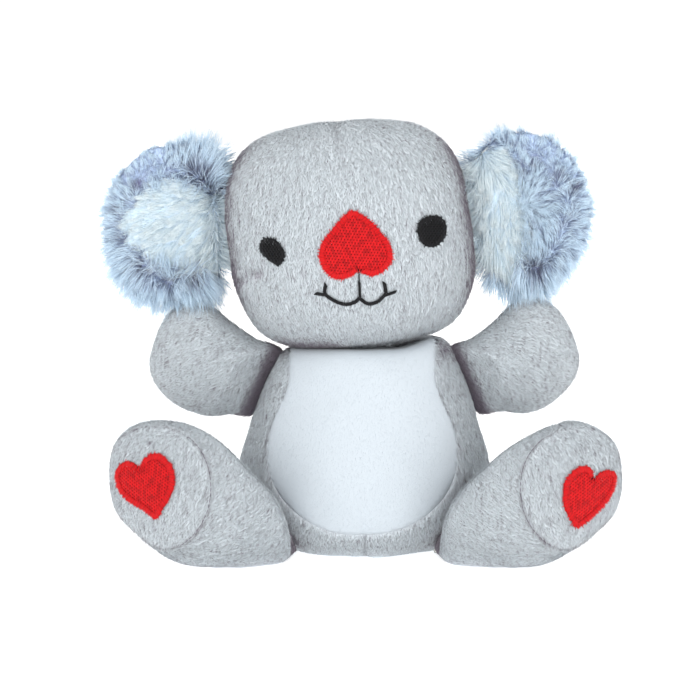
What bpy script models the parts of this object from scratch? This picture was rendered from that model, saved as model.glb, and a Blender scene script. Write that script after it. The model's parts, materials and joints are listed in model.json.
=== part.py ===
# Plush koala, seated, 150 mm tall.
#
# The toy faces -Y, +Z is up and +X is to the right of someone who looks at its
# face. Left and right in names are as that person sees them. Lengths are in
# metres. Each stuffed form is one smooth rule that carries the points of a
# gridded cube to the form, and the skin panels, the stuffing and the
# embroidery of that form are all taken from the same rule. Limbs and ears
# start at the tangent plane of the form that carries them, so they seat on it
# at any size, and each one turns about the line of its seam.

import math
from collections import namedtuple

import bmesh
import bpy
from mathutils import Matrix, Vector

# Fabric, thread and fits
PLUSH_THICKNESS = 0.0010
SEAM_GAP = 0.0003
STUFFING_SLACK = 0.00065
THREAD_HEIGHT = 0.0008
FLOOR_CUT = 0.0005

# Torso: a pear that is cut flat under the head and on the ground. The widths
# and depths are those of its taper, before it rounds over at either end.
TORSO_HEIGHT = 0.072
TORSO_CROWN_CUT = 0.0100
TORSO_BASE_WIDTH = 0.105
TORSO_TOP_WIDTH = 0.057
TORSO_BASE_DEPTH = 0.064
TORSO_TOP_DEPTH = 0.046
TORSO_BASE_POWER = 2.5
TORSO_TOP_POWER = 3.2

# Tummy panel: two half ovals that meet at its widest level
TUMMY_WIDTH = 0.0636
TUMMY_WIDEST_HEIGHT = 0.036
TUMMY_RISE = 0.049
TUMMY_DROP = 0.025
TUMMY_OFFSET = -0.001

# Head
HEAD_WIDTH = 0.083
HEAD_HEIGHT = 0.077
HEAD_DEPTH = 0.072
HEAD_OFFSET = -0.0053
HEAD_FORWARD = 0.002
HEAD_LEAN_DEG = 6.5
HEAD_SIDE_POWER = 3.1
HEAD_FACE_POWER = 2.5

# Embroidered face, measured from the middle of the head
NOSE_WIDTH = 0.0244
NOSE_HEIGHT = 0.0225
NOSE_OFFSET = 0.0015
NOSE_DROP = 0.0011
EYE_LEFT_WIDTH = 0.0092
EYE_LEFT_HEIGHT = 0.0104
EYE_LEFT_OFFSET = 0.0258
EYE_RIGHT_WIDTH = 0.0102
EYE_RIGHT_HEIGHT = 0.0114
EYE_RIGHT_OFFSET = 0.0272
EYE_DROP = 0.0004
MOUTH_HALF_WIDTH = 0.0100
MOUTH_OFFSET = 0.0006
MOUTH_CORNER_DROP = 0.0134
MOUTH_SAG = 0.0076
MOUTH_THREAD = 0.0011
MOUTH_TICK = 0.0034

# Ears: discs with one straight edge on the side of the head
EAR_WIDTH = 0.0395
EAR_HEIGHT = 0.0515
EAR_THICKNESS = 0.014
EAR_POWER = 2.05
EAR_ROOT_SHARE = 0.86
EAR_LEFT_RISE = 0.0100
EAR_RIGHT_RISE = 0.0020
EAR_PINCH_LENGTH = 0.008
EAR_PINCH_SHARE = 0.35
EAR_HINGE_INSET = 0.0024

# Arms: pillows with one straight edge on the side of the torso
ARM_LENGTH = 0.0405
ARM_WIDTH = 0.037
ARM_THICKNESS = 0.026
ARM_SEAM_DROP = 0.0120
ARM_PINCH_LENGTH = 0.012
ARM_PINCH_SHARE = 0.45
ARM_HINGE_INSET = 0.0030
ARM_OUTLINE_CENTRE_SHARES = (0.52, -0.05)
ARM_OUTLINE_SHARES = (
    (1.00, -0.03),
    (0.98, 0.22),
    (0.87, 0.39),
    (0.70, 0.44),
    (0.45, 0.37),
    (0.20, 0.32),
    (0.00, 0.33),
    (0.00, 0.00),
    (0.00, -0.33),
    (0.15, -0.42),
    (0.35, -0.53),
    (0.57, -0.55),
    (0.80, -0.46),
    (0.95, -0.29),
)

# Legs: tubes that swell from a pinched hip seam to a round sole. A station is
# the share of the way to the sole, of the full height and of the full width.
LEG_HEIGHT = 0.049
LEG_WIDTH = 0.046
LEG_SEAM_HEIGHT = 0.0150
LEG_SEAM_AZIMUTH_DEG = 42
LEG_SEAM_ROLL_DEG = 20
LEG_STATION_SHARES = (
    (0.00, 0.58, 0.07),
    (0.16, 0.63, 0.47),
    (0.36, 0.71, 0.80),
    (0.60, 0.87, 0.98),
    (0.80, 1.00, 1.02),
    (1.00, 0.85, 0.85),
)
LEG_FILL_START_SHARE = 0.12
LEG_FILL_SLACK = 0.0008
LEG_HIP_HANDLE = 0.016
LEG_SOLE_HANDLE = 0.020
LEG_HINGE_INSET = 0.0045
SOLE_SIDE = 0.0676
SOLE_FORWARD = 0.0490
SOLE_HEIGHT = 0.0290
SOLE_YAW_DEG = 27
SOLE_PITCH_DEG = 8
SOLE_BULGE = 0.0030

# Heart on each sole, placed from the middle of the sole
HEART_WIDTH = 0.0215
HEART_HEIGHT = 0.0210
HEART_LEFT_OUTWARD = 0.0040
HEART_LEFT_DROP = 0.0
HEART_RIGHT_OUTWARD = 0.0060
HEART_RIGHT_DROP = 0.0046
HEART_ROLL_DEG = 17

# How finely each form is gridded, as cells along an edge of its cube
BODY_CELLS = 8
LIMB_CELLS = 6
EAR_CELLS = 5
CUTTER_SIDES = 36
TUBE_STEPS = 3

# Directions and small pure numbers
UP = Vector((0.0, 0.0, 1.0))
FORWARD = Vector((0.0, -1.0, 0.0))
LEFT = -1
RIGHT = 1
SIDE_NAMES = {LEFT: "left", RIGHT: "right"}
PROBE_SHARE = 0.001
END_FACE_SHARE = 0.99
POLE_CROWDING = 1.4
SMOOTHED_UP_TO_DEG = 50
WELD_SHARE = 0.01
CLOTH_ROOM_SHARE = 0.5
STUFFING_ROOM_SHARE = 0.9

# Colours as they look on a screen, with roughness
Finish = namedtuple("Finish", "name colour roughness")
GREY_PLUSH = Finish("grey_plush", (0.77, 0.79, 0.80), 0.95)
WHITE_PLUSH = Finish("white_plush", (0.89, 0.93, 0.96), 0.95)
EAR_FUR = Finish("ear_fur", (0.60, 0.68, 0.78), 0.98)
RED_THREAD = Finish("red_thread", (0.90, 0.12, 0.13), 0.55)
BLACK_THREAD = Finish("black_thread", (0.03, 0.03, 0.04), 0.50)
STUFFING_FIBRE = Finish("stuffing_fibre", (0.94, 0.94, 0.92), 1.00)

# Where a limb or an ear seats: the point, the way out of the form that
# carries it, and the way along the seam
Seat = namedtuple("Seat", "point out along")
Joint = namedtuple("Joint", "empty frame")


# Rules for rounding, mixing and placing


def round_over(share, power):
    """Width that is left at this share of the half height, from 1 to 0."""
    return max(0.0, 1.0 - abs(share) ** power) ** (1.0 / power)


def mix(first, last, share):
    return first + (last - first) * share


def toward_poles(value):
    """Height share for a direction: it crowds the grid toward either end."""
    return math.copysign(1 - (1 - abs(value)) ** POLE_CROWDING, value)


def from_poles(share):
    return math.copysign(1 - (1 - abs(share)) ** (1 / POLE_CROWDING), share)


def signed_power(value, power):
    return math.copysign(abs(value) ** power, value)


def curve_between(before, start, end, after, share):
    """Smooth curve from start to end, steered by the points on either side."""
    squared = share * share
    cubed = squared * share
    lean_in = (end - before) * 0.5
    lean_out = (after - start) * 0.5
    return (
        start * (2 * cubed - 3 * squared + 1)
        + lean_in * (cubed - 2 * squared + share)
        + end * (3 * squared - 2 * cubed)
        + lean_out * (cubed - squared)
    )


def closed_curve(points, share):
    """Point of the smooth closed curve through the points."""
    count = len(points)
    place = (share % 1.0) * count
    index = int(place) % count
    near = [points[(index + step) % count] for step in (-1, 0, 1, 2)]
    return curve_between(*near, place - int(place))


def open_curve(points, steps):
    """Points along the smooth open curve through the points."""
    padded = [points[0], *points, points[-1]]
    result = []
    for index in range(len(points) - 1):
        near = padded[index:index + 4]
        result += [curve_between(*near, step / steps) for step in range(steps)]
    return result + [points[-1]]


def station_at(stations, share):
    """Height and width shares of a leg at this share of its length."""
    rows = [Vector(row) for row in stations]
    index = max(i for i in range(len(rows) - 1) if rows[i].x <= share)
    padded = [rows[0], *rows, rows[-1]]
    near = padded[index:index + 4]
    local = (share - rows[index].x) / (rows[index + 1].x - rows[index].x)
    return curve_between(*near, local).yz


def mirrored(point, side):
    return Vector((side * point.x, point.y, point.z))


def frame_of(point, x_axis, y_axis, z_axis):
    """Matrix with these axes as its columns and this origin."""
    turn = Matrix((x_axis, y_axis, z_axis)).transposed()
    return Matrix.Translation(point) @ turn.to_4x4()


# The cube that every form starts from


def unit_of(cube):
    """Direction of a cube point, evened out so that the cells stay alike."""
    return Vector([math.tan(value * math.pi / 4) for value in cube]).normalized()


def gridded_cube(cells):
    """Cube from -1 to 1 with each face cut into cells, and its points noted."""
    bm = bmesh.new()
    bmesh.ops.create_cube(bm, size=2)
    bmesh.ops.subdivide_edges(bm, edges=bm.edges[:], cuts=cells - 1, use_grid_fill=True)
    noted = bm.verts.layers.float_vector.new("cube")
    bm.verts.layers.float_vector.new("outward")
    bm.verts.layers.float.new("room")
    for vert in bm.verts:
        vert[noted] = vert.co
    return bm


def room_inside(rule, cube):
    """Half the way from a point to the one behind it on the far side of the seam."""
    if abs(cube.y) < PROBE_SHARE:
        return math.inf
    return (rule(cube) - rule(Vector((cube.x, -cube.y, cube.z)))).length / 2


def face_out(bm):
    """Turn every face of a closed body outward."""
    bmesh.ops.recalc_face_normals(bm, faces=bm.faces[:])
    if bm.calc_volume(signed=True) < 0:
        bmesh.ops.reverse_faces(bm, faces=bm.faces[:])
    bm.normal_update()


def form_mesh(cells, rule):
    """Closed form: each point of the cube goes where the rule says."""
    bm = gridded_cube(cells)
    noted = bm.verts.layers.float_vector["cube"]
    outward = bm.verts.layers.float_vector["outward"]
    room = bm.verts.layers.float["room"]
    for vert in bm.verts:
        vert.co = rule(vert[noted])
        vert[room] = room_inside(rule, vert[noted])
    face_out(bm)
    for vert in bm.verts:
        vert[outward] = vert.normal
    return bm


def keep_faces(bm, wanted):
    """Leave only the faces whose middle on the cube is wanted."""
    noted = bm.verts.layers.float_vector["cube"]
    dropped = []
    for face in bm.faces:
        middle = sum((vert[noted] for vert in face.verts), Vector()) / len(face.verts)
        if not wanted(middle):
            dropped.append(face)
    bmesh.ops.delete(bm, geom=dropped, context="FACES")


def way_into_panel(vert, noted, rule):
    """Direction across the seam, from a point of the rim into its panel."""
    here = vert[noted]
    corners = [corner[noted] for face in vert.link_faces for corner in face.verts]
    inward = sum(corners, Vector()) / len(corners) - here
    across = inward.copy()
    for edge in vert.link_edges:
        if edge.is_boundary:
            along = (edge.other_vert(vert)[noted] - here).normalized()
            across -= along * across.dot(along)
    if across.length < inward.length * PROBE_SHARE:
        across = inward
    return (rule(here + across.normalized() * PROBE_SHARE) - rule(here)).normalized()


def open_seams(bm, rule):
    """Draw the rim of a panel in by half the gap at each seam."""
    noted = bm.verts.layers.float_vector["cube"]
    rim = [vert for vert in bm.verts if vert.is_boundary]
    moves = [way_into_panel(vert, noted, rule) * SEAM_GAP / 2 for vert in rim]
    for vert, move in zip(rim, moves):
        vert.co += move


def thicken(bm, first, depth):
    """Give an open patch its thickness: it starts at first and goes in by depth.

    Where the form is pinched, it goes in no further than a share of the room.
    """
    outward = bm.verts.layers.float_vector["outward"]
    room = bm.verts.layers.float["room"]
    for vert in bm.verts:
        vert.co -= vert[outward] * first
    grown = bmesh.ops.extrude_face_region(bm, geom=bm.faces[:], use_keep_orig=True)
    for item in grown["geom"]:
        if isinstance(item, bmesh.types.BMVert):
            item.co -= item[outward] * min(depth, item[room] * CLOTH_ROOM_SHARE)
    face_out(bm)


# Objects and their finish


def screen_to_linear(value):
    return ((value + 0.055) / 1.055) ** 2.4 if value > 0.04 else value / 12.92


def material_of(finish):
    material = bpy.data.materials.get(finish.name)
    if material:
        return material
    material = bpy.data.materials.new(finish.name)
    material.use_nodes = True
    shader = material.node_tree.nodes["Principled BSDF"]
    colour = [screen_to_linear(value) for value in finish.colour]
    shader.inputs["Base Color"].default_value = (*colour, 1.0)
    shader.inputs["Roughness"].default_value = finish.roughness
    shader.inputs["Metallic"].default_value = 0.0
    material.diffuse_color = (*colour, 1.0)
    return material


def new_object(name, mesh, joint=None):
    """Object for a mesh in world places, hung from a joint if it moves."""
    thing = bpy.data.objects.new(name, mesh)
    bpy.context.collection.objects.link(thing)
    if joint:
        mesh.transform(joint.frame.inverted())
        thing.parent = joint.empty
    return thing


def piece(name, bm, finish, joint=None):
    """Finished sub-part from a bmesh."""
    mesh = bpy.data.meshes.new(name)
    bm.to_mesh(mesh)
    bm.free()
    mesh.shade_smooth()
    mesh.set_sharp_from_angle(angle=math.radians(SMOOTHED_UP_TO_DEG))
    mesh.materials.append(material_of(finish))
    return new_object(name, mesh, joint)


def panel(name, cells, rule, wanted, finish, joint=None):
    """Skin panel: the wanted part of a form, one fabric thick."""
    bm = form_mesh(cells, rule)
    keep_faces(bm, wanted)
    open_seams(bm, rule)
    thicken(bm, 0.0, PLUSH_THICKNESS)
    return piece(name, bm, finish, joint)


def stuffing(name, cells, rule, joint=None, slack=STUFFING_SLACK):
    """Fibre that fills a form inside its skin, short of it by the slack."""
    bm = form_mesh(cells, rule)
    outward = bm.verts.layers.float_vector["outward"]
    room = bm.verts.layers.float["room"]
    depth = PLUSH_THICKNESS + SEAM_GAP + slack
    for vert in bm.verts:
        vert.co -= vert[outward] * min(depth, vert[room] * STUFFING_ROOM_SHARE)
    return piece(name, bm, STUFFING_FIBRE, joint)


def stitched_patch(name, cells, rule, wanted, cutter, finish, joint):
    """Embroidery: thread that stands on the skin inside the cutter's outline."""
    bm = form_mesh(cells, rule)
    keep_faces(bm, wanted)
    thicken(bm, -SEAM_GAP - THREAD_HEIGHT, THREAD_HEIGHT)
    patch = piece(name, bm, finish, joint)
    cut_by(patch, cutter, "INTERSECT")
    return patch


def cut_by(thing, cutter, operation):
    modifier = thing.modifiers.new(cutter.name, "BOOLEAN")
    modifier.operation = operation
    modifier.solver = "EXACT"
    modifier.object = cutter


def as_cutter(thing):
    thing.display_type = "WIRE"
    thing.hide_render = True
    return thing


def prism_cutter(name, outline, frame, length):
    """Prism on the frame's X and Y axes that runs from its origin along Z."""
    bm = bmesh.new()
    bmesh.ops.create_circle(bm, cap_ends=True, segments=CUTTER_SIDES, radius=1.0)
    for vert in bm.verts:
        vert.co = outline(math.atan2(vert.co.y, vert.co.x))
    grown = bmesh.ops.extrude_face_region(bm, geom=bm.faces[:], use_keep_orig=True)
    top = [item for item in grown["geom"] if isinstance(item, bmesh.types.BMVert)]
    bmesh.ops.translate(bm, verts=top, vec=UP * length)
    bm.transform(frame)
    face_out(bm)
    mesh = bpy.data.meshes.new(name)
    bm.to_mesh(mesh)
    bm.free()
    return as_cutter(new_object(name, mesh))


def oval_outline(width, height):
    return lambda angle: Vector((math.cos(angle) * width, math.sin(angle) * height, 0.0)) / 2


def heart_outline(width, height):
    """Heart with its tip at the top, as wide and as tall as asked."""
    def outline(angle):
        turn = angle + math.pi / 2
        across = math.sin(turn) ** 3
        up = (13 * math.cos(turn) - 5 * math.cos(2 * turn)
              - 2 * math.cos(3 * turn) - math.cos(4 * turn) + 2.6) / 28.9
        return Vector((across * width / 2, -up * height, 0.0))
    return outline


def tube_mesh(name, points, thickness):
    """Round thread along the points, closed at both ends."""
    curve = bpy.data.curves.new(name, "CURVE")
    curve.dimensions = "3D"
    curve.bevel_depth = thickness / 2
    curve.bevel_resolution = 1
    curve.use_fill_caps = True
    spline = curve.splines.new("POLY")
    spline.points.add(len(points) - 1)
    for target, point in zip(spline.points, points):
        target.co = (*point, 1.0)
    thing = bpy.data.objects.new(name, curve)
    mesh = bpy.data.meshes.new_from_object(thing)
    bpy.data.objects.remove(thing)
    bm = bmesh.new()
    bm.from_mesh(mesh)
    bmesh.ops.remove_doubles(bm, verts=bm.verts[:], dist=thickness * WELD_SHARE)
    face_out(bm)
    bm.to_mesh(mesh)
    bm.free()
    return mesh


# Seats and joints


def seat_on(rule, unit):
    """Seat on the tangent plane of a form, with the seam as upright as it can be."""
    point = rule(unit)
    side = unit.cross(UP).normalized()
    rise = side.cross(unit).normalized()
    step_side = rule((unit + side * PROBE_SHARE).normalized()) - point
    step_rise = rule((unit + rise * PROBE_SHARE).normalized()) - point
    out = step_side.cross(step_rise).normalized()
    if out.dot(side.cross(rise)) * side.cross(rise).dot(unit) < 0:
        out.negate()
    along = (UP - out * UP.dot(out)).normalized()
    return Seat(point + out * SEAM_GAP, out, along)


def mirrored_seat(seat, side):
    return Seat(*(mirrored(vector, side) for vector in seat))


def joint_at(name, point, axis):
    """Empty on the axis of a joint, with the axis as its Z."""
    x_axis = axis.cross(FORWARD).normalized()
    frame = frame_of(point, x_axis, axis.cross(x_axis), axis)
    empty = bpy.data.objects.new(name, None)
    empty.matrix_world = frame
    bpy.context.collection.objects.link(empty)
    return Joint(empty, frame)


def hinge_on(name, seat, inset):
    return joint_at(name, seat.point + seat.out * inset, seat.along)


# Torso


def pear_height():
    """Height of the whole pear, of which the neck and the ground cut off the ends."""
    return FLOOR_CUT + TORSO_HEIGHT + TORSO_CROWN_CUT


def torso_rule(unit):
    """Torso point in a direction, before the cuts at the neck and the ground."""
    height_share = toward_poles(unit.z)
    rise = (height_share + 1) / 2
    azimuth = math.atan2(unit.y, unit.x)
    power = TORSO_TOP_POWER if unit.z > 0 else TORSO_BASE_POWER
    rounding = round_over(height_share, power)
    width = mix(TORSO_BASE_WIDTH, TORSO_TOP_WIDTH, rise) * rounding
    depth = mix(TORSO_BASE_DEPTH, TORSO_TOP_DEPTH, rise) * rounding
    return Vector((
        math.cos(azimuth) * width / 2,
        math.sin(azimuth) * depth / 2,
        pear_height() * rise - FLOOR_CUT,
    ))


def torso_form(cube):
    point = torso_rule(unit_of(cube))
    point.z = min(max(point.z, 0.0), TORSO_HEIGHT)
    return point


def torso_unit(height, azimuth_deg):
    """Direction that the rule carries to this height, turned forward from +X."""
    rise = from_poles((height + FLOOR_CUT) / pear_height() * 2 - 1)
    turn = math.radians(azimuth_deg)
    level = math.sqrt(1 - rise * rise)
    return Vector((math.cos(turn) * level, -math.sin(turn) * level, rise))


def tummy_outline(margin):
    def outline(angle):
        tall = TUMMY_RISE if math.sin(angle) > 0 else TUMMY_DROP
        across = math.cos(angle) * (TUMMY_WIDTH / 2 + margin)
        return Vector((across, math.sin(angle) * (tall + margin), 0.0))
    return outline


def build_torso():
    middle = Vector((TUMMY_OFFSET, 0.0, TUMMY_WIDEST_HEIGHT))
    frame = frame_of(middle, Vector((1, 0, 0)), UP, FORWARD)
    inner = prism_cutter("tummy_cutter", tummy_outline(-SEAM_GAP / 2), frame, TORSO_BASE_DEPTH)
    outer = prism_cutter("tummy_opening", tummy_outline(SEAM_GAP / 2), frame, TORSO_BASE_DEPTH)
    for side, name in SIDE_NAMES.items():
        half = panel(f"torso_{name}_panel", BODY_CELLS, torso_form,
                     lambda cube, side=side: cube.y < 0 and cube.x * side > 0, GREY_PLUSH)
        cut_by(half, outer, "DIFFERENCE")
    tummy = panel("tummy_panel", BODY_CELLS, torso_form, lambda cube: cube.y < 0, WHITE_PLUSH)
    cut_by(tummy, inner, "INTERSECT")
    panel("torso_back_panel", BODY_CELLS, torso_form, lambda cube: cube.y > 0, GREY_PLUSH)
    stuffing("torso_stuffing", BODY_CELLS, torso_form)


# Head


def head_frame():
    middle = Vector((HEAD_OFFSET, -HEAD_FORWARD, TORSO_HEIGHT + HEAD_HEIGHT / 2))
    return Matrix.Translation(middle) @ Matrix.Rotation(-math.radians(HEAD_LEAN_DEG), 4, "Y")


def head_rule(unit):
    """Head point in a direction, from the middle of the upright head."""
    azimuth = math.atan2(unit.y, unit.x)
    width = HEAD_WIDTH * round_over(unit.z, HEAD_SIDE_POWER)
    depth = HEAD_DEPTH * round_over(unit.z, HEAD_FACE_POWER)
    return Vector((
        math.cos(azimuth) * width / 2,
        math.sin(azimuth) * depth / 2,
        unit.z * HEAD_HEIGHT / 2,
    ))


def head_form(cube):
    point = head_frame() @ head_rule(unit_of(cube))
    point.z = max(point.z, TORSO_HEIGHT + SEAM_GAP)
    return point


def face_point(across, up, lift):
    """Point on the front of the head, this far from its middle, lifted off it."""
    rise = up / (HEAD_HEIGHT / 2)
    share = across / (HEAD_WIDTH / 2 * round_over(rise, HEAD_SIDE_POWER))
    depth = HEAD_DEPTH / 2 * round_over(rise, HEAD_FACE_POWER) * math.sqrt(1 - share * share)
    return head_frame() @ Vector((across, -depth - lift, up))


def face_cutter(name, outline, across, up):
    turned = head_frame().to_3x3()
    axes = [turned @ axis for axis in (Vector((1, 0, 0)), UP, FORWARD)]
    return prism_cutter(name, outline, frame_of(head_frame() @ Vector((across, 0.0, up)), *axes),
                        HEAD_DEPTH)


def build_eye(side, width, height, offset, neck):
    name = SIDE_NAMES[side]
    cutter = face_cutter(f"eye_{name}_cutter", oval_outline(width, height), side * offset, -EYE_DROP)
    stitched_patch(f"eye_{name}_embroidery", BODY_CELLS, head_form,
                   lambda cube: cube.y < 0 and cube.x * side > 0, cutter, BLACK_THREAD, neck)


def mouth_lines():
    """Lines of the mouth as places across and up from the middle of the head."""
    def place(across_share, drop_share):
        return Vector((MOUTH_OFFSET + across_share * MOUTH_HALF_WIDTH,
                       -MOUTH_CORNER_DROP - drop_share * MOUTH_SAG))
    side_shares = ((1.0, 0.0), (1.02, 0.42), (0.78, 0.84), (0.44, 1.0), (0.16, 0.93))
    left = [place(-across, drop) for across, drop in side_shares]
    right = [place(across, drop) for across, drop in reversed(side_shares)]
    smile = open_curve(left + [place(0.0, 0.78)] + right, TUBE_STEPS)
    nose_to_lip = [place(0.0, -0.22), place(0.0, 0.28), place(0.0, 0.78)]
    ticks = []
    for side in (LEFT, RIGHT):
        inner = place(side, 0.44)
        ticks.append([inner, inner + Vector((side * MOUTH_TICK, MOUTH_TICK / 4))])
    return [smile, nose_to_lip, *ticks]


def build_mouth(neck):
    lift = SEAM_GAP + MOUTH_THREAD / 2
    tubes = []
    for index, line in enumerate(mouth_lines()):
        points = [face_point(across, up, lift) for across, up in line]
        tubes.append(tube_mesh(f"mouth_line_{index}", points, MOUTH_THREAD))
    smile, *others = tubes
    smile.materials.append(material_of(BLACK_THREAD))
    mouth = new_object("mouth_embroidery", smile, neck)
    for mesh in others:
        cut_by(mouth, as_cutter(new_object(mesh.name, mesh)), "UNION")


def build_head(neck):
    panel("head_face_panel", BODY_CELLS, head_form, lambda cube: cube.y < 0, GREY_PLUSH, neck)
    for side, name in SIDE_NAMES.items():
        panel(f"head_back_{name}_panel", BODY_CELLS, head_form,
              lambda cube, side=side: cube.y > 0 and cube.x * side > 0, GREY_PLUSH, neck)
    stuffing("head_stuffing", BODY_CELLS, head_form, neck)
    nose = face_cutter("nose_cutter", heart_outline(NOSE_WIDTH, NOSE_HEIGHT), NOSE_OFFSET, -NOSE_DROP)
    stitched_patch("nose_embroidery", BODY_CELLS, head_form, lambda cube: cube.y < 0, nose,
                   RED_THREAD, neck)
    build_eye(LEFT, EYE_LEFT_WIDTH, EYE_LEFT_HEIGHT, EYE_LEFT_OFFSET, neck)
    build_eye(RIGHT, EYE_RIGHT_WIDTH, EYE_RIGHT_HEIGHT, EYE_RIGHT_OFFSET, neck)
    build_mouth(neck)


# Ears


def ear_seat(side):
    """Seat of an ear on the side of the leaning head."""
    rise = EAR_LEFT_RISE if side == LEFT else EAR_RIGHT_RISE
    height_share = rise / (HEAD_HEIGHT / 2)
    unit = Vector((math.sqrt(1 - height_share ** 2), 0.0, height_share))
    upright = mirrored_seat(seat_on(head_rule, unit), side)
    turned = head_frame().to_3x3()
    return Seat(head_frame() @ upright.point, turned @ upright.out, turned @ upright.along)


def ear_rule(seat):
    """Rule for a disc that stands out from its seat, thin from front to back."""
    radius = EAR_WIDTH / (1 + EAR_ROOT_SHARE)
    behind = seat.out.cross(seat.along)
    if behind.dot(FORWARD) > 0:
        behind.negate()

    def rule(cube):
        unit = unit_of(cube)
        angle = math.atan2(unit.z, unit.x)
        reach = math.hypot(unit.x, unit.z)
        bend = 2 / EAR_POWER
        out = radius * (EAR_ROOT_SHARE + reach * signed_power(math.cos(angle), bend))
        along = EAR_HEIGHT / 2 * reach * signed_power(math.sin(angle), bend)
        out = max(out, 0.0)
        swell = mix(EAR_PINCH_SHARE, 1.0, min(1.0, out / EAR_PINCH_LENGTH))
        back = EAR_THICKNESS / 2 * unit.y * swell
        return seat.point + seat.out * out + seat.along * along + behind * back
    return rule


def build_ear(side, neck):
    name = SIDE_NAMES[side]
    seat = ear_seat(side)
    joint = hinge_on(f"ear_{name}_joint", seat, EAR_HINGE_INSET)
    rule = ear_rule(seat)
    panel(f"ear_{name}_fur_panel", EAR_CELLS, rule,
          lambda cube: cube.y > -END_FACE_SHARE, EAR_FUR, joint)
    panel(f"ear_{name}_inner_panel", EAR_CELLS, rule,
          lambda cube: cube.y < -END_FACE_SHARE, WHITE_PLUSH, joint)
    stuffing(f"ear_{name}_wadding", EAR_CELLS, rule, joint)
    hang_from(joint, neck)


def hang_from(joint, carrier):
    joint.empty.parent = carrier.empty
    joint.empty.matrix_parent_inverse = carrier.frame.inverted()


# Arms


def arm_seat(side):
    seam_height = TORSO_HEIGHT - ARM_SEAM_DROP
    return mirrored_seat(seat_on(torso_rule, torso_unit(seam_height, 0.0)), side)


def arm_rule(seat):
    """Rule for a pillow with the arm's outline, thin at its seam."""
    size = Vector((ARM_LENGTH, ARM_WIDTH))
    outline = [Vector(shares) * size for shares in ARM_OUTLINE_SHARES]
    centre = Vector(ARM_OUTLINE_CENTRE_SHARES) * size

    def rule(cube):
        unit = unit_of(cube)
        angle = math.atan2(unit.z, unit.x)
        edge = closed_curve(outline, angle / math.tau)
        place = centre + (edge - centre) * math.hypot(unit.x, unit.z)
        out = max(place.x, 0.0)
        swell = mix(ARM_PINCH_SHARE, 1.0, min(1.0, out / ARM_PINCH_LENGTH))
        back = ARM_THICKNESS / 2 * unit.y * swell
        return seat.point + seat.out * out + seat.along * place.y - FORWARD * back
    return rule


def build_arm(side):
    name = SIDE_NAMES[side]
    seat = arm_seat(side)
    joint = hinge_on(f"arm_{name}_joint", seat, ARM_HINGE_INSET)
    rule = arm_rule(seat)
    panel(f"arm_{name}_front_panel", LIMB_CELLS, rule, lambda cube: cube.y < 0, GREY_PLUSH, joint)
    panel(f"arm_{name}_back_panel", LIMB_CELLS, rule, lambda cube: cube.y > 0, GREY_PLUSH, joint)
    stuffing(f"arm_{name}_stuffing", LIMB_CELLS, rule, joint)


# Legs


def leg_seat():
    """Seat of the leg on the +X side; the other leg is its mirror image."""
    seat = seat_on(torso_rule, torso_unit(LEG_SEAM_HEIGHT, LEG_SEAM_AZIMUTH_DEG))
    lean = Matrix.Rotation(-math.radians(LEG_SEAM_ROLL_DEG), 3, seat.out)
    return Seat(seat.point, seat.out, lean @ seat.along)


def sole_frame():
    """Middle of the sole's edge, the ways across and up it, and out of it."""
    middle = Vector((SOLE_SIDE, -SOLE_FORWARD, SOLE_HEIGHT))
    yaw = math.radians(SOLE_YAW_DEG)
    pitch = math.radians(SOLE_PITCH_DEG)
    level = Vector((math.sin(yaw), -math.cos(yaw), 0.0))
    out = (level * math.cos(pitch) + UP * math.sin(pitch)).normalized()
    across = UP.cross(out).normalized()
    return middle, across, out.cross(across), out


def leg_rule(side, seat):
    """Rule for a tube along a curve from the hip seam to the edge of the sole."""
    middle, across_sole, up_sole, out_sole = sole_frame()
    handles = (
        seat.point,
        seat.point + seat.out * LEG_HIP_HANDLE,
        middle - out_sole * LEG_SOLE_HANDLE,
        middle,
    )

    def spine(share):
        rest = 1 - share
        weights = (rest ** 3, 3 * rest ** 2 * share, 3 * rest * share ** 2, share ** 3)
        return sum((point * weight for point, weight in zip(handles, weights)), Vector())

    def rule(cube):
        share = (cube.x + 1) / 2
        out = mix(seat.out, out_sole, share).normalized()
        rise = mix(seat.along, up_sole, share)
        rise = (rise - out * rise.dot(out)).normalized()
        across = rise.cross(out)
        height, width = station_at(LEG_STATION_SHARES, min(share, 1 - PROBE_SHARE))
        reach = max(abs(cube.y), abs(cube.z))
        unit = unit_of(Vector((0.0, cube.y, cube.z))) * reach if reach else Vector()
        bulge = SOLE_BULGE * (1 - reach * reach) if cube.x > END_FACE_SHARE else 0.0
        point = (spine(share) + across * unit.y * width * LEG_WIDTH / 2
                 + rise * unit.z * height * LEG_HEIGHT / 2 + out * bulge)
        point.z = max(point.z, 0.0)
        return mirrored(point, side)
    return rule


def past_pinch(rule):
    """The same rule for what starts a little way out from the hip seam."""
    start = 2 * LEG_FILL_START_SHARE - 1
    return lambda cube: rule(Vector((mix(start, 1.0, (cube.x + 1) / 2), cube.y, cube.z)))


def heart_cutter(side, outward, drop):
    """Prism with the outline of the heart on a sole."""
    middle, across, up, out = sole_frame()
    turn = Matrix.Rotation(-math.radians(HEART_ROLL_DEG), 3, out)
    centre = middle + across * outward - up * drop - out * SOLE_BULGE
    axes = [mirrored(turn @ axis, side) for axis in (across, -up, out)]
    frame = frame_of(mirrored(centre, side), *axes)
    outline = heart_outline(HEART_WIDTH, HEART_HEIGHT)
    return prism_cutter(f"heart_{SIDE_NAMES[side]}_cutter", outline, frame, LEG_WIDTH / 2)


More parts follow.
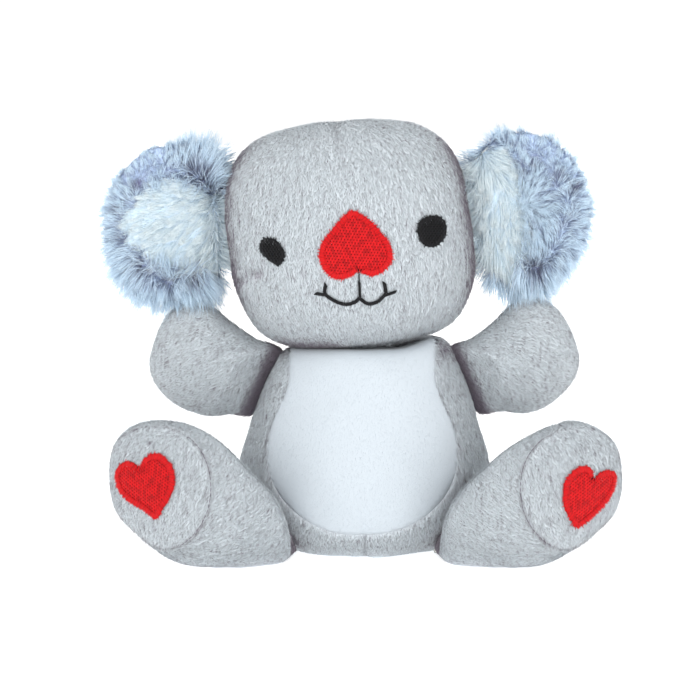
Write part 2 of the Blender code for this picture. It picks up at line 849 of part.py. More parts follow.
def build_leg(side):
    name = SIDE_NAMES[side]
    seat = leg_seat()
    rule = leg_rule(side, seat)
    joint = hinge_on(f"leg_{name}_joint", mirrored_seat(seat, side), LEG_HINGE_INSET)
    panel(f"leg_{name}_inner_panel", LIMB_CELLS, rule,
          lambda cube: cube.x < END_FACE_SHARE and cube.y < 0, GREY_PLUSH, joint)
    panel(f"leg_{name}_outer_panel", LIMB_CELLS, rule,
          lambda cube: cube.x < END_FACE_SHARE and cube.y > 0, GREY_PLUSH, joint)
    panel(f"foot_{name}_sole", LIMB_CELLS, rule, lambda cube: cube.x > END_FACE_SHARE, GREY_PLUSH, joint)
    stuffing(f"leg_{name}_stuffing", LIMB_CELLS, past_pinch(rule), joint, LEG_FILL_SLACK)
    places = {LEFT: (HEART_LEFT_OUTWARD, HEART_LEFT_DROP), RIGHT: (HEART_RIGHT_OUTWARD, HEART_RIGHT_DROP)}
    stitched_patch(f"foot_{name}_heart_embroidery", LIMB_CELLS, rule,
                   lambda cube: cube.x > END_FACE_SHARE, heart_cutter(side, *places[side]),
                   RED_THREAD, joint)


# The whole toy


def clear_scene():
    for thing in list(bpy.data.objects):
        bpy.data.objects.remove(thing, do_unlink=True)


def centre_on_footprint():
    """Put the origin under the middle of the toy's bounding box."""
    graph = bpy.context.evaluated_depsgraph_get()
    points = []
    for thing in bpy.data.objects:
        if thing.type == "MESH" and not thing.hide_render:
            shown = thing.evaluated_get(graph)
            points += [shown.matrix_world @ vert.co for vert in shown.data.vertices]
    for axis in (0, 1):
        values = [point[axis] for point in points]
        for thing in bpy.data.objects:
            if thing.parent is None:
                thing.location[axis] -= (min(values) + max(values)) / 2


def main():
    clear_scene()
    build_torso()
    neck = joint_at("neck_joint", UP * TORSO_HEIGHT, UP)
    build_head(neck)
    for side in (LEFT, RIGHT):
        build_ear(side, neck)
        build_arm(side)
        build_leg(side)
    centre_on_footprint()


if __name__ == "__main__":
    main()
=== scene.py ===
"""Seated plush koala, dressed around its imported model.

Each stuffed form is cut into the same panels as the toy and sewn back together
with tucked seams. Hair grows on every panel, short on the body and long on the
ears, and the face and the soles are worked in thread, stitch by stitch.

Lengths are in metres. The toy faces -Y, and left and right are as seen by someone
who looks at its face.
"""

from __future__ import annotations

import functools
import json
import logging
import math
from collections.abc import Callable, Sequence
from dataclasses import dataclass, field
from enum import Enum

import bmesh
import bpy
from mathutils import Matrix, Vector, noise
from mathutils.bvhtree import BVHTree
from mathutils.kdtree import KDTree
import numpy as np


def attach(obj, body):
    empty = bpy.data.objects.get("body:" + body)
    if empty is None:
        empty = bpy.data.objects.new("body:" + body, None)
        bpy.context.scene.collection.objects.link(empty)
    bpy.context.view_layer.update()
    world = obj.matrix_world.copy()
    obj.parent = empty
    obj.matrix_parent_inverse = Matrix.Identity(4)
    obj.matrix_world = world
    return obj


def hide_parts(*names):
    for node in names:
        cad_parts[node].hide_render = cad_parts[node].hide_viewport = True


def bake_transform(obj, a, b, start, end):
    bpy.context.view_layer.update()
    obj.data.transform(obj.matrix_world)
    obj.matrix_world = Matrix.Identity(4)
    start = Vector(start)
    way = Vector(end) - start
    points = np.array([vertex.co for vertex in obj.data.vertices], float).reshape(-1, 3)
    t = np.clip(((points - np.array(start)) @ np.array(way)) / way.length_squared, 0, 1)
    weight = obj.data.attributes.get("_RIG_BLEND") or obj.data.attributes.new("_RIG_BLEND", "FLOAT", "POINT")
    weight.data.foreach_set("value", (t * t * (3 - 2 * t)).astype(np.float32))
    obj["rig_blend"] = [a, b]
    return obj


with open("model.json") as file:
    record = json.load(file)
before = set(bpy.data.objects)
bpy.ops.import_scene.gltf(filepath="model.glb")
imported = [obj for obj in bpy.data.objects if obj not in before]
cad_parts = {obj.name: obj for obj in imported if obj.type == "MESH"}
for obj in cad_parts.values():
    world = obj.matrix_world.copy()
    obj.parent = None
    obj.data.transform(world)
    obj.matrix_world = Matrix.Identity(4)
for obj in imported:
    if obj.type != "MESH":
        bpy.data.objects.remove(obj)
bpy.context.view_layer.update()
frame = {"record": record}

LOG = logging.getLogger("koala")
UP = Vector((0.0, 0.0, 1.0))
AHEAD = Vector((0.0, -1.0, 0.0))
PROBE = 0.001
MM = 0.001
EVEN = (1.0, 1.0, 1.0)

Colour = tuple[float, float, float]
Triple = tuple[float, float, float]
Plan = tuple[tuple[float, float], ...]


class Side(Enum):
    """The two sides of the toy, with the sign of X on each."""

    LEFT = -1
    RIGHT = 1

    @property
    def word(self) -> str:
        """The side's name as it stands in node names."""
        return self.name.lower()


# ---- small helpers ----


def joint_point(name: str) -> Vector:
    """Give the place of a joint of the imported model."""
    joint = next(item for item in frame["record"]["behaviour"]["joints"] if item["name"] == name)
    return Vector(joint["pos_m"])


NECK = joint_point("neck_turn")
GROUND = Vector((NECK.x, NECK.y, 0.0))


def linear(colour: Colour) -> tuple[float, float, float, float]:
    """Turn a screen colour into the renderer's own values.

    Args:
        colour: Red, green and blue from 0 to 1, as they look on a screen.

    Returns:
        The linear colour, opaque.
    """
    values = [v / 12.92 if v < 0.04 else ((v + 0.055) / 1.055) ** 2.4 for v in colour]
    return (values[0], values[1], values[2], 1.0)


def mix(first: float, last: float, share: float) -> float:
    """Blend two numbers, or two vectors."""
    return first + (last - first) * share


def ease(value: float, low: float, high: float) -> float:
    """Rise smoothly from 0 at low to 1 at high."""
    share = min(1.0, max(0.0, (value - low) / (high - low)))
    return share * share * (3 - 2 * share)


def bell(distance: float, width: float) -> float:
    """Fall smoothly from 1 at no distance to nothing past the width."""
    return math.exp(-((distance / width) ** 2))


def round_over(share: float, power: float) -> float:
    """Give the width that is left at this share of the half height."""
    return max(0.0, 1.0 - abs(share) ** power) ** (1.0 / power)


def mirrored(point: Vector, side: Side) -> Vector:
    """Swap a point of the right side to the side that is asked for."""
    return Vector((side.value * point.x, point.y, point.z))


def curve_between(near: Sequence[Vector], share: float) -> Vector:
    """Follow the smooth curve from the second of four points to the third.

    Args:
        near: Four points in a row.
        share: How far along it is, from 0 to 1.

    Returns:
        The point of the curve.
    """
    before, start, end, after = near
    square, cube = share * share, share**3
    return (
        start * (2 * cube - 3 * square + 1)
        + (end - before) * 0.5 * (cube - 2 * square + share)
        + end * (3 * square - 2 * cube)
        + (after - start) * 0.5 * (cube - square)
    )


def closed_curve(points: Sequence[Vector], share: float) -> Vector:
    """Give the point of the smooth closed curve at this share of its length.

    Args:
        points: What the curve goes through.
        share: How far along it is, from 0 to 1.

    Returns:
        The point of the curve.
    """
    place = (share % 1.0) * len(points)
    index = int(place) % len(points)
    near = [points[(index + step) % len(points)] for step in (-1, 0, 1, 2)]
    return curve_between(near, place - int(place))


def open_curve(points: Sequence[Vector], steps: int) -> list[Vector]:
    """List points along the smooth open curve through the points.

    Args:
        points: What the curve goes through.
        steps: How many points each span gives.

    Returns:
        The points of the curve, from its first end to its last.
    """
    padded = [points[0], *points, points[-1]]
    result = []
    for index in range(len(points) - 1):
        near = padded[index : index + 4]
        result += [curve_between(near, step / steps) for step in range(steps)]
    return [*result, points[-1]]


# ---- materials ----


def add_node(
    tree: bpy.types.NodeTree, kind: str, inputs: dict | None = None, **settings: object
) -> bpy.types.Node:
    """Put a node in a tree and join it up.

    Args:
        tree: The tree that gets the node.
        kind: Blender's name for the kind of node.
        inputs: Values or sockets for its inputs, by name or number.
        **settings: Options of the node itself.

    Returns:
        The new node.
    """
    node = tree.nodes.new(kind)
    for key, value in settings.items():
        setattr(node, key, value)
    for key, value in (inputs or {}).items():
        if isinstance(value, bpy.types.NodeSocket):
            tree.links.new(value, node.inputs[key])
        else:
            node.inputs[key].default_value = value
    return node


@dataclass
class Painter:
    """Builds one material, node by node."""

    name: str
    material: bpy.types.Material = field(init=False)

    def __post_init__(self) -> None:
        """Start a material with its shader."""
        self.material = bpy.data.materials.new(self.name)
        self.material.use_nodes = True
        self.tree = self.material.node_tree
        self.shader = self.tree.nodes["Principled BSDF"]

    def node(self, kind: str, inputs: dict | None = None, **settings: object) -> bpy.types.Node:
        """Add a node to the material."""
        return add_node(self.tree, kind, inputs, **settings)

    def fact(self, name: str) -> bpy.types.NodeSocket:
        """Read a number that the mesh carries under this name."""
        return self.node("ShaderNodeAttribute", attribute_name=name).outputs["Fac"]

    def blend(self, share: object, first: object, last: object) -> bpy.types.NodeSocket:
        """Mix two colours by a share."""
        given = {0: share, 6: first, 7: last}
        return self.node("ShaderNodeMix", given, data_type="RGBA").outputs[2]

    def sum(self, operation: str, first: object, last: object) -> bpy.types.NodeSocket:
        """Work out one number from two."""
        return self.node("ShaderNodeMath", {0: first, 1: last}, operation=operation).outputs[0]

    def steps(self, value: object, low: float, high: float) -> bpy.types.NodeSocket:
        """Rise smoothly from 0 at low to 1 at high.

        Args:
            value: What rises.
            low: Where the rise starts.
            high: Where it ends.

        Returns:
            The socket that gives the share.
        """
        given = {"Value": value, "From Min": low, "From Max": high}
        kind = "ShaderNodeMapRange"
        return self.node(kind, given, interpolation_type="SMOOTHSTEP").outputs["Result"]

    def grain(
        self, size: float, stretch: Triple = EVEN, detail: float = 2.0
    ) -> bpy.types.NodeSocket:
        """Make a noise whose grains are this many metres across.

        Args:
            size: How wide a grain is, in metres.
            stretch: How much finer it is along each axis.
            detail: How many finer layers it has.

        Returns:
            The socket that gives the noise.
        """
        where = self.node("ShaderNodeTexCoord").outputs["Object"]
        placed = self.node("ShaderNodeMapping", {"Vector": where, "Scale": stretch})
        given = {"Vector": placed.outputs[0], "Scale": 1.0 / size, "Detail": detail}
        return self.node("ShaderNodeTexNoise", given).outputs["Fac"]

    def emboss(self, height: bpy.types.NodeSocket, strength: float, depth: float) -> None:
        """Let the surface seem to stand out by a pattern.

        Args:
            height: The pattern, from 0 to 1.
            strength: The share of it that shows.
            depth: How far it stands out at most, in metres.
        """
        given = {"Height": height, "Strength": strength, "Distance": depth}
        bump = self.node("ShaderNodeBump", given)
        self.tree.links.new(bump.outputs[0], self.shader.inputs["Normal"])

    def finish(self, colour: object, **constants: float) -> bpy.types.Material:
        """Join the colour to the shader and set its plain numbers.

        Args:
            colour: The colour, or the socket that gives it.
            **constants: Values of the shader's inputs, with _ for a space.

        Returns:
            The finished material.
        """
        if isinstance(colour, bpy.types.NodeSocket):
            self.tree.links.new(colour, self.shader.inputs["Base Color"])
        else:
            self.shader.inputs["Base Color"].default_value = colour
        for key, value in constants.items():
            self.shader.inputs[key.replace("_", " ")].default_value = value
        return self.material


@dataclass(frozen=True)
class HairFinish:
    """Colour of hair, from its root to its tip, with darker hairs among the rest, and painted shade where the
    mesh notes it.
    """

    name: str
    slot: str
    root: Colour
    tip: Colour
    # The dark colour serves both the darker hairs and the painted shade.
    dark: Colour
    dark_share: float
    tip_start: float = 0.1
    tip_end: float = 0.8
    patch_size: float = 0.0011
    patch_stretch: Triple = (1.0, 1.0, 0.22)
    contrast: float = 1.0
    own_tone: float = 0.35
    crease_depth: float = 0.85
    dark_from: float = 0.85
    dark_span: float = 0.45

    @functools.cache
    def material(self) -> bpy.types.Material:
        """Make the material once, and give it again after that.

        Returns:
            A material that reads how far along its hair a point is, the hair's own tone, and the painted
            shade that darkens it in creases.
        """
        paint = Painter(self.name)
        along = paint.steps(paint.fact("along"), self.tip_start, self.tip_end)
        colour = paint.blend(along, linear(self.root), linear(self.tip))
        patch = paint.grain(self.patch_size, self.patch_stretch, detail=1.0)
        own = paint.sum("MULTIPLY", paint.fact("tone"), self.own_tone)
        streak = paint.sum("MULTIPLY", paint.sum("ADD", own, patch), self.contrast)
        # Painted shade: the mesh's shade darkens the hair toward the dark colour in creases, seams and
        # partings.
        crease = paint.sum("MULTIPLY", paint.fact("shade"), self.crease_depth)
        low = self.dark_from - self.dark_share
        darkness = paint.steps(paint.sum("ADD", streak, crease), low, low + self.dark_span)
        colour = paint.blend(darkness, colour, linear(self.dark))
        return paint.finish(colour, Roughness=0.85, Specular_IOR_Level=0.15, Sheen_Weight=0.25)


@dataclass(frozen=True)
class ClothFinish:
    """Knitted backing that the hair stands on."""

    name: str
    slot: str
    colour: Colour
    deep: Colour
    stitch: float = 0.0009
    bump: float = 0.1
    knit_stretch: Triple = (1.0, 1.0, 0.25)
    knit_depth: float = 0.4
    deep_from: float = 0.1

    @functools.cache
    def material(self) -> bpy.types.Material:
        """Make the material once, and give it again after that.

        Returns:
            A material whose knit is darker where the mesh notes painted shade.
        """
        paint = Painter(self.name)
        knit = paint.grain(self.stitch, self.knit_stretch, detail=3.0)
        # The knit's own grain and the painted shade from the mesh darken the cloth toward its deep colour.
        crease = paint.sum("ADD", paint.sum("MULTIPLY", knit, self.knit_depth), paint.fact("shade"))
        darkness = paint.steps(crease, self.deep_from, 1.0)
        colour = paint.blend(darkness, linear(self.colour), linear(self.deep))
        paint.emboss(knit, self.bump, self.stitch / 4)
        return paint.finish(colour, Roughness=0.95, Specular_IOR_Level=0.1, Sheen_Weight=0.2)


@dataclass(frozen=True)
class ThreadFinish:
    """Embroidery thread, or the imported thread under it."""

    name: str
    slot: str
    colour: Colour
    deep: Colour
    roughness: float = 0.45
    bump: float = 0.5
    twist: float = 0.0005
    twist_share: float = 0.5
    deep_until: float = 0.15
    full_from: float = 0.65

    @functools.cache
    def material(self) -> bpy.types.Material:
        """Make the material once, and give it again after that.

        Returns:
            A material of twisted thread whose tone the mesh gives.
        """
        paint = Painter(self.name)
        twist = paint.grain(self.twist)
        own = paint.sum("MULTIPLY", paint.fact("tone"), 1 - self.twist_share)
        light = paint.sum("ADD", paint.sum("MULTIPLY", twist, self.twist_share), own)
        light = paint.steps(light, self.deep_until, self.full_from)
        colour = paint.blend(light, linear(self.deep), linear(self.colour))
        paint.emboss(twist, self.bump, self.twist / 5)
        return paint.finish(colour, Roughness=self.roughness, Specular_IOR_Level=0.2)


# Each dark colour below is both its darker hairs and the painted shade of creases, seams and partings.
GREY_HAIR = HairFinish(
    "grey_plush_hair", "grey_plush", (0.74, 0.76, 0.775), (0.865, 0.898, 0.917), (0.44, 0.40, 0.45), 0.20
)
WHITE_HAIR = HairFinish(
    "white_plush_hair", "white_plush", (0.735, 0.77, 0.80), (0.755, 0.79, 0.82), (0.705, 0.74, 0.77), 0.10
)
BLUE_HAIR = HairFinish(
    "ear_fur_hair", "ear_fur", (0.58, 0.64, 0.76), (0.85, 0.93, 0.99), (0.35, 0.34, 0.46), 0.0,
    tip_start=0.05, tip_end=0.60, patch_size=0.006, patch_stretch=EVEN, contrast=0.8,
)
EAR_WHITE_HAIR = HairFinish(
    "ear_white_hair", "white_plush", (0.89, 0.96, 1.0), (0.95, 0.99, 1.0), (0.84, 0.91, 0.97), 0.0,
    patch_size=0.006, patch_stretch=EVEN, contrast=0.8,
)
# Each deep colour is both the knit's darker grain and the painted shade of creases and seams.
GREY_CLOTH = ClothFinish("grey_backing", "grey_plush", (0.79, 0.82, 0.84), (0.47, 0.44, 0.48))
WHITE_CLOTH = ClothFinish(
    "white_backing", "white_plush", (0.735, 0.765, 0.79), (0.715, 0.745, 0.77), bump=0.02
)
EAR_WHITE_CLOTH = ClothFinish("ear_white_backing", "white_plush", (0.87, 0.94, 1.0), (0.79, 0.86, 0.94))
EAR_CLOTH = ClothFinish("ear_backing", "ear_fur", (0.72, 0.80, 0.91), (0.48, 0.50, 0.63))
FIBRE = ClothFinish("polyester_fibre", "stuffing_fibre", (0.95, 0.95, 0.93), (0.85, 0.85, 0.83), 0.002)
RED = ThreadFinish("red_embroidery", "red_thread", (0.77, 0.05, 0.075), (0.60, 0.02, 0.045), 0.55)
# The pads are darker than their thread: painted shade that shows in the gaps between the stitches.
RED_GAP_SHADE_PAD = ThreadFinish("red_packed_thread", "red_thread", (0.30, 0.01, 0.03), (0.20, 0.01, 0.02), 0.8)
# Dark thread along the sole's seam: painted shade of the crease.
SEAM_SHADE_THREAD = ThreadFinish("seam_thread", "grey_plush", (0.42, 0.40, 0.43), (0.33, 0.31, 0.35), 0.7)
BLACK = ThreadFinish("black_embroidery", "black_thread", (0.055, 0.055, 0.07), (0.015, 0.015, 0.02), 0.5)
BLACK_GAP_SHADE_PAD = ThreadFinish(
    "black_packed_thread", "black_thread", (0.03, 0.03, 0.035), (0.015, 0.015, 0.02), 0.8
)


# ---- pieces ----


def object_from(bm: bmesh.types.BMesh, name: str) -> bpy.types.Object:
    """Turn a bmesh into an object of the scene, and free it.

    Args:
        bm: The surface.
        name: The name of the new object.

    Returns:
        The new object.
    """
    mesh = bpy.data.meshes.new(name)
    bm.to_mesh(mesh)
    bm.free()
    thing = bpy.data.objects.new(name, mesh)
    bpy.context.scene.collection.objects.link(thing)
    return thing


def face_out(bm: bmesh.types.BMesh) -> None:
    """Turn the faces of a closed body outward.

    Args:
        bm: The surface.
    """
    bmesh.ops.recalc_face_normals(bm, faces=bm.faces[:])
    if bm.calc_volume(signed=True) < 0:
        bmesh.ops.reverse_faces(bm, faces=bm.faces[:])


def thicken(bm: bmesh.types.BMesh, depth: float) -> None:
    """Give an open patch its thickness, inward.

    Args:
        bm: The patch, with its normals up to date.
        depth: How thick it gets.
    """
    inward = {vert: vert.normal.copy() for vert in bm.verts}
    grown = bmesh.ops.extrude_face_region(bm, geom=bm.faces[:], use_keep_orig=True)
    moved = [item for item in grown["geom"] if isinstance(item, bmesh.types.BMVert)]
    old = KDTree(len(inward))
    normals = list(inward.items())
    for index, (vert, _) in enumerate(normals):
        old.insert(vert.co, index)
    old.balance()
    for vert in moved:
        vert.co -= normals[old.find(vert.co)[1]][1] * depth
    face_out(bm)


def dress(
    thing: bpy.types.Object,
    finish: HairFinish | ClothFinish | ThreadFinish,
    body: str | None,
    nodes: Sequence[str] = (),
) -> bpy.types.Object:
    """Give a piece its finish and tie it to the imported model.

    Args:
        thing: The piece.
        finish: What it is made of.
        body: The body that it moves with, or None where it bends between two.
        nodes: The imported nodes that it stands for.

    Returns:
        The same piece.
    """
    thing.data.materials.clear()
    thing.data.materials.append(finish.material())
    thing.data.shade_smooth()
    if body:
        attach(thing, body)
    if nodes:
        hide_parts(*nodes)
    LOG.info("%s: %d faces", thing.name, len(thing.data.polygons))
    return thing


@dataclass(frozen=True)
class Hair:
    """One hair as a thin cone of three sides, a unit long."""

    slimness: float
    joints: int = 1
    curl: float = 0.0
    belly: float = 0.9

    def master(self, name: str) -> bpy.types.Object:
        """Make the hair that is planted many times.

        Args:
            name: A name for the object, which is removed after planting.

        Returns:
            The hair, with its root at the origin and along noted from 0 to 1.
        """
        bm = bmesh.new()
        stand = Matrix.Translation((0.0, 0.0, 0.5))
        bmesh.ops.create_cone(
            bm, segments=3, radius1=self.slimness / 2, radius2=0.0, depth=1.0, cap_ends=True, matrix=stand
        )
        for cut in range(1, self.joints):
            geometry = bm.verts[:] + bm.edges[:] + bm.faces[:]
            height = Vector((0.0, 0.0, cut / self.joints))
            bmesh.ops.bisect_plane(bm, geom=geometry, plane_co=height, plane_no=UP)
        along = bm.verts.layers.float.new("along")
        for vert in bm.verts:
            share = vert.co.z
            vert[along] = share
            fuller = 1.0 + self.belly * share if share < 1.0 else 1.0
            vert.co.x = vert.co.x * fuller + self.curl * share * share
            vert.co.y *= fuller
        return object_from(bm, name)


@dataclass(frozen=True)
class Pile:
    """How hair stands on a skin."""

    hair: Hair
    length: float
    per_mm2: float
    lean: float
    unrest: float
    clump: float
    pull: float
    wave: float = 0.0
    tufts: float = 2.4
    most: int = 48000
    jitter: float = 0.35
    tuft_size: float = 2.5
    lengths: tuple[float, float] = (0.72, 1.12)
    bend: float = 1.6

    def planted(self, skin: bpy.types.Object, name: str, seed: int) -> bpy.types.Object:
        """Grow the hair of a skin.

        The skin's mesh carries lay, cover, long and shade: the way that the hair lies, how much of it there
        is, how long it is, and how much painted shade it gets.

        Args:
            skin: The patch that the hair stands on.
            name: The name of the new piece.
            seed: Picks one spread of the hair out of many.

        Returns:
            A mesh object of separate hairs.
        """
        master = self.hair.master(name + "_master")
        tree = bpy.data.node_groups.new(name + "_planting", "GeometryNodeTree")
        tree.interface.new_socket("Geometry", in_out="INPUT", socket_type="NodeSocketGeometry")
        tree.interface.new_socket("Geometry", in_out="OUTPUT", socket_type="NodeSocketGeometry")
        self._lay_out(tree, master, seed, self._density(skin.data))
        modifier = skin.modifiers.new("planting", "NODES")
        modifier.node_group = tree
        graph = bpy.context.evaluated_depsgraph_get()
        mesh = bpy.data.meshes.new_from_object(skin.evaluated_get(graph))
        mesh.name = name
        skin.modifiers.remove(modifier)
        bpy.data.node_groups.remove(tree)
        bpy.data.objects.remove(master)
        grown = bpy.data.objects.new(name, mesh)
        bpy.context.scene.collection.objects.link(grown)
        return grown

    def _density(self, mesh: bpy.types.Mesh) -> float:
        """Work out how many hairs a square metre gets, within the most for a piece.

        Args:
            mesh: The skin that the hair stands on.

        Returns:
            Hairs to the square metre.
        """
        cover = mesh.attributes["cover"].data
        area = 0.0
        for face in mesh.polygons:
            area += face.area * sum(cover[index].value for index in face.vertices) / len(face.vertices)
        return min(self.per_mm2 / MM**2, self.most / max(area, MM**2))

    def _lay_out(
        self, tree: bpy.types.NodeTree, master: bpy.types.Object, seed: int, density: float
    ) -> None:
        """Draw the node tree that plants, turns, sizes and clumps the hairs.

        Args:
            tree: The empty node tree.
            master: The hair that is planted.
            seed: Picks one spread of the hair out of many.
            density: Hairs to the square metre.
        """

        def node(kind: str, inputs: dict | None = None, **settings: object) -> bpy.types.Node:
            """Put a node in the tree."""
            return add_node(tree, kind, inputs, **settings)

        def fact(name: str, kind: str = "FLOAT") -> bpy.types.NodeSocket:
            """Read what the mesh carries under this name."""
            read = node("GeometryNodeInputNamedAttribute", {"Name": name}, data_type=kind)
            return read.outputs["Attribute"]

        def vector(operation: str, first: object, last: object) -> bpy.types.NodeSocket:
            """Work out one vector from two, or from one and its scale."""
            given = {0: first, ("Scale" if operation == "SCALE" else 1): last}
            return node("ShaderNodeVectorMath", given, operation=operation).outputs[0]

        def number(operation: str, first: object, last: object) -> bpy.types.NodeSocket:
            """Work out one number from two."""
            return node("ShaderNodeMath", {0: first, 1: last}, operation=operation).outputs[0]

        def store(geometry: object, name: str, value: object, kind: str) -> bpy.types.NodeSocket:
            """Keep a value on each point under this name."""
            given = {"Geometry": geometry, "Name": name, "Value": value}
            return node("GeometryNodeStoreNamedAttribute", given, data_type=kind, domain="POINT").outputs[0]

        def chance(low: float, high: float, salt: int) -> bpy.types.NodeSocket:
            """Draw a number for each point."""
            return node("FunctionNodeRandomValue", {2: low, 3: high, 8: seed + salt}).outputs[1]

        def cloud(size: float, salt: float) -> bpy.types.NodeSocket:
            """Give a vector that drifts from place to place.

            Args:
                size: How far apart the drifts are.
                salt: Picks one cloud out of many.

            Returns:
                The socket that gives the vector, about half a unit at most.
            """
            moved = vector("ADD", fact("root", "FLOAT_VECTOR"), (salt, salt, salt))
            given = {"Vector": moved, "Scale": 1.0 / size, "Detail": 2.0}
            colour = node("ShaderNodeTexNoise", given).outputs["Color"]
            return vector("SUBTRACT", colour, (0.5, 0.5, 0.5))

        start = node("NodeGroupInput").outputs[0]
        cover = number("MULTIPLY", fact("cover"), density)
        spread = node("GeometryNodeDistributePointsOnFaces", {"Mesh": start, "Density": cover, "Seed": seed})
        place = node("GeometryNodeInputPosition").outputs[0]
        points = store(spread.outputs["Points"], "root", place, "FLOAT_VECTOR")
        points = store(points, "tone", chance(0.0, 1.0, 1), "FLOAT")
        jitter = node(
            "FunctionNodeRandomValue",
            {0: (-1.0, -1.0, -1.0), 1: (1.0, 1.0, 1.0), 8: seed + 2},
            data_type="FLOAT_VECTOR",
        ).outputs[0]
        out = vector("SCALE", spread.outputs["Normal"], 1.0 - self.lean)
        lay = vector("SCALE", fact("lay", "FLOAT_VECTOR"), self.lean)
        way = vector("ADD", out, lay)
        way = vector("ADD", way, vector("SCALE", jitter, self.unrest * self.jitter))
        tufts = cloud(self.clump * self.tuft_size, 3.0)
        way = vector("ADD", way, vector("SCALE", tufts, self.unrest * self.tufts))
        way = node("ShaderNodeVectorMath", {0: way}, operation="NORMALIZE").outputs[0]
        turn = node(
            "FunctionNodeAxesToRotation",
            {"Primary Axis": way, "Secondary Axis": fact("lay", "FLOAT_VECTOR")},
            primary_axis="Z",
            secondary_axis="X",
        ).outputs[0]
        reach = number("MULTIPLY", number("MULTIPLY", chance(*self.lengths, 3), self.length), fact("long"))
        breadth = number("MULTIPLY", number("ADD", reach, self.length), 0.5)
        planted = node(
            "GeometryNodeInstanceOnPoints",
            {
                "Points": points,
                "Instance": node("GeometryNodeObjectInfo", {"Object": master}).outputs["Geometry"],
                "Rotation": turn,
                "Scale": node("ShaderNodeCombineXYZ", {0: breadth, 1: breadth, 2: reach}).outputs[0],
            },
        ).outputs[0]
        hairs = node("GeometryNodeRealizeInstances", {"Geometry": planted}).outputs[0]
        root = fact("root", "FLOAT_VECTOR")
        cell = node("ShaderNodeTexVoronoi", {"Vector": root, "Scale": 1.0 / self.clump}).outputs["Position"]
        along = number("POWER", fact("along"), self.bend)
        gather = vector("SCALE", vector("SUBTRACT", cell, root), number("MULTIPLY", along, self.pull))
        drift = vector("SCALE", cloud(self.clump, 7.0), number("MULTIPLY", along, self.wave))
        hairs = node(
            "GeometryNodeSetPosition", {"Geometry": hairs, "Offset": vector("ADD", gather, drift)}
        ).outputs[0]
        node("NodeGroupOutput", {0: hairs})


SHORT = Pile(Hair(0.060), 0.0023, 6.2, 0.82, 0.40, 0.0012, 0.10, tufts=0.55)
BACK_SHORT = Pile(Hair(0.080), 0.0023, 2.6, 0.80, 0.40, 0.0012, 0.10, tufts=0.55)
TUMMY_SHORT = Pile(Hair(0.060), 0.0010, 1.5, 0.95, 0.14, 0.0010, 0.0, tufts=0.20)
EAR_LONG = Pile(Hair(0.024, 3, 0.30), 0.0085, 7.0, 0.52, 0.55, 0.0034, 0.75, 0.0030, most=12300)
EAR_RIM = Pile(Hair(0.024, 3, 0.25), 0.0085, 7.0, 0.62, 0.42, 0.0038, 0.85, 0.0030, most=12300)
EAR_BACK = Pile(Hair(0.030, 3, 0.25), 0.0085, 3.0, 0.60, 0.45, 0.0038, 0.85, 0.0030, most=5700)
EAR_WHITE = Pile(Hair(0.022, 3, 0.25), 0.0075, 8.0, 0.72, 0.45, 0.0034, 0.65, 0.0025, most=12300)


# ---- stuffed forms ----


def unit_of(cube: Vector) -> Vector:
    """Give the direction of a cube point, evened out so that cells stay alike."""
    return Vector([math.tan(value * math.pi / 4) for value in cube]).normalized()


def gridded_cube(cells: int) -> bmesh.types.BMesh:
    """Cut each face of a cube into cells and note where its points are.

    Args:
        cells: How many cells stand along an edge.

    Returns:
        The cube, with its places noted in the layer cube.
    """
    bm = bmesh.new()
    bmesh.ops.create_cube(bm, size=2)
    bmesh.ops.subdivide_edges(bm, edges=bm.edges[:], cuts=cells - 1, use_grid_fill=True)
    noted = bm.verts.layers.float_vector.new("cube")
    for vert in bm.verts:
        vert[noted] = vert.co
    return bm


@dataclass(frozen=True)
class Panel:
    """One cut piece of a skin: what it is made of and which nodes it stands for."""

    name: str
    nodes: tuple[str, ...]
    cloth: ClothFinish
    hair: HairFinish
    pile: Pile


@dataclass(frozen=True)
class Tuck:
    """A line that is drawn in by thread: a seam, a dart or a pucker."""

    points: tuple[Vector, ...]
    depth: float
    width: float


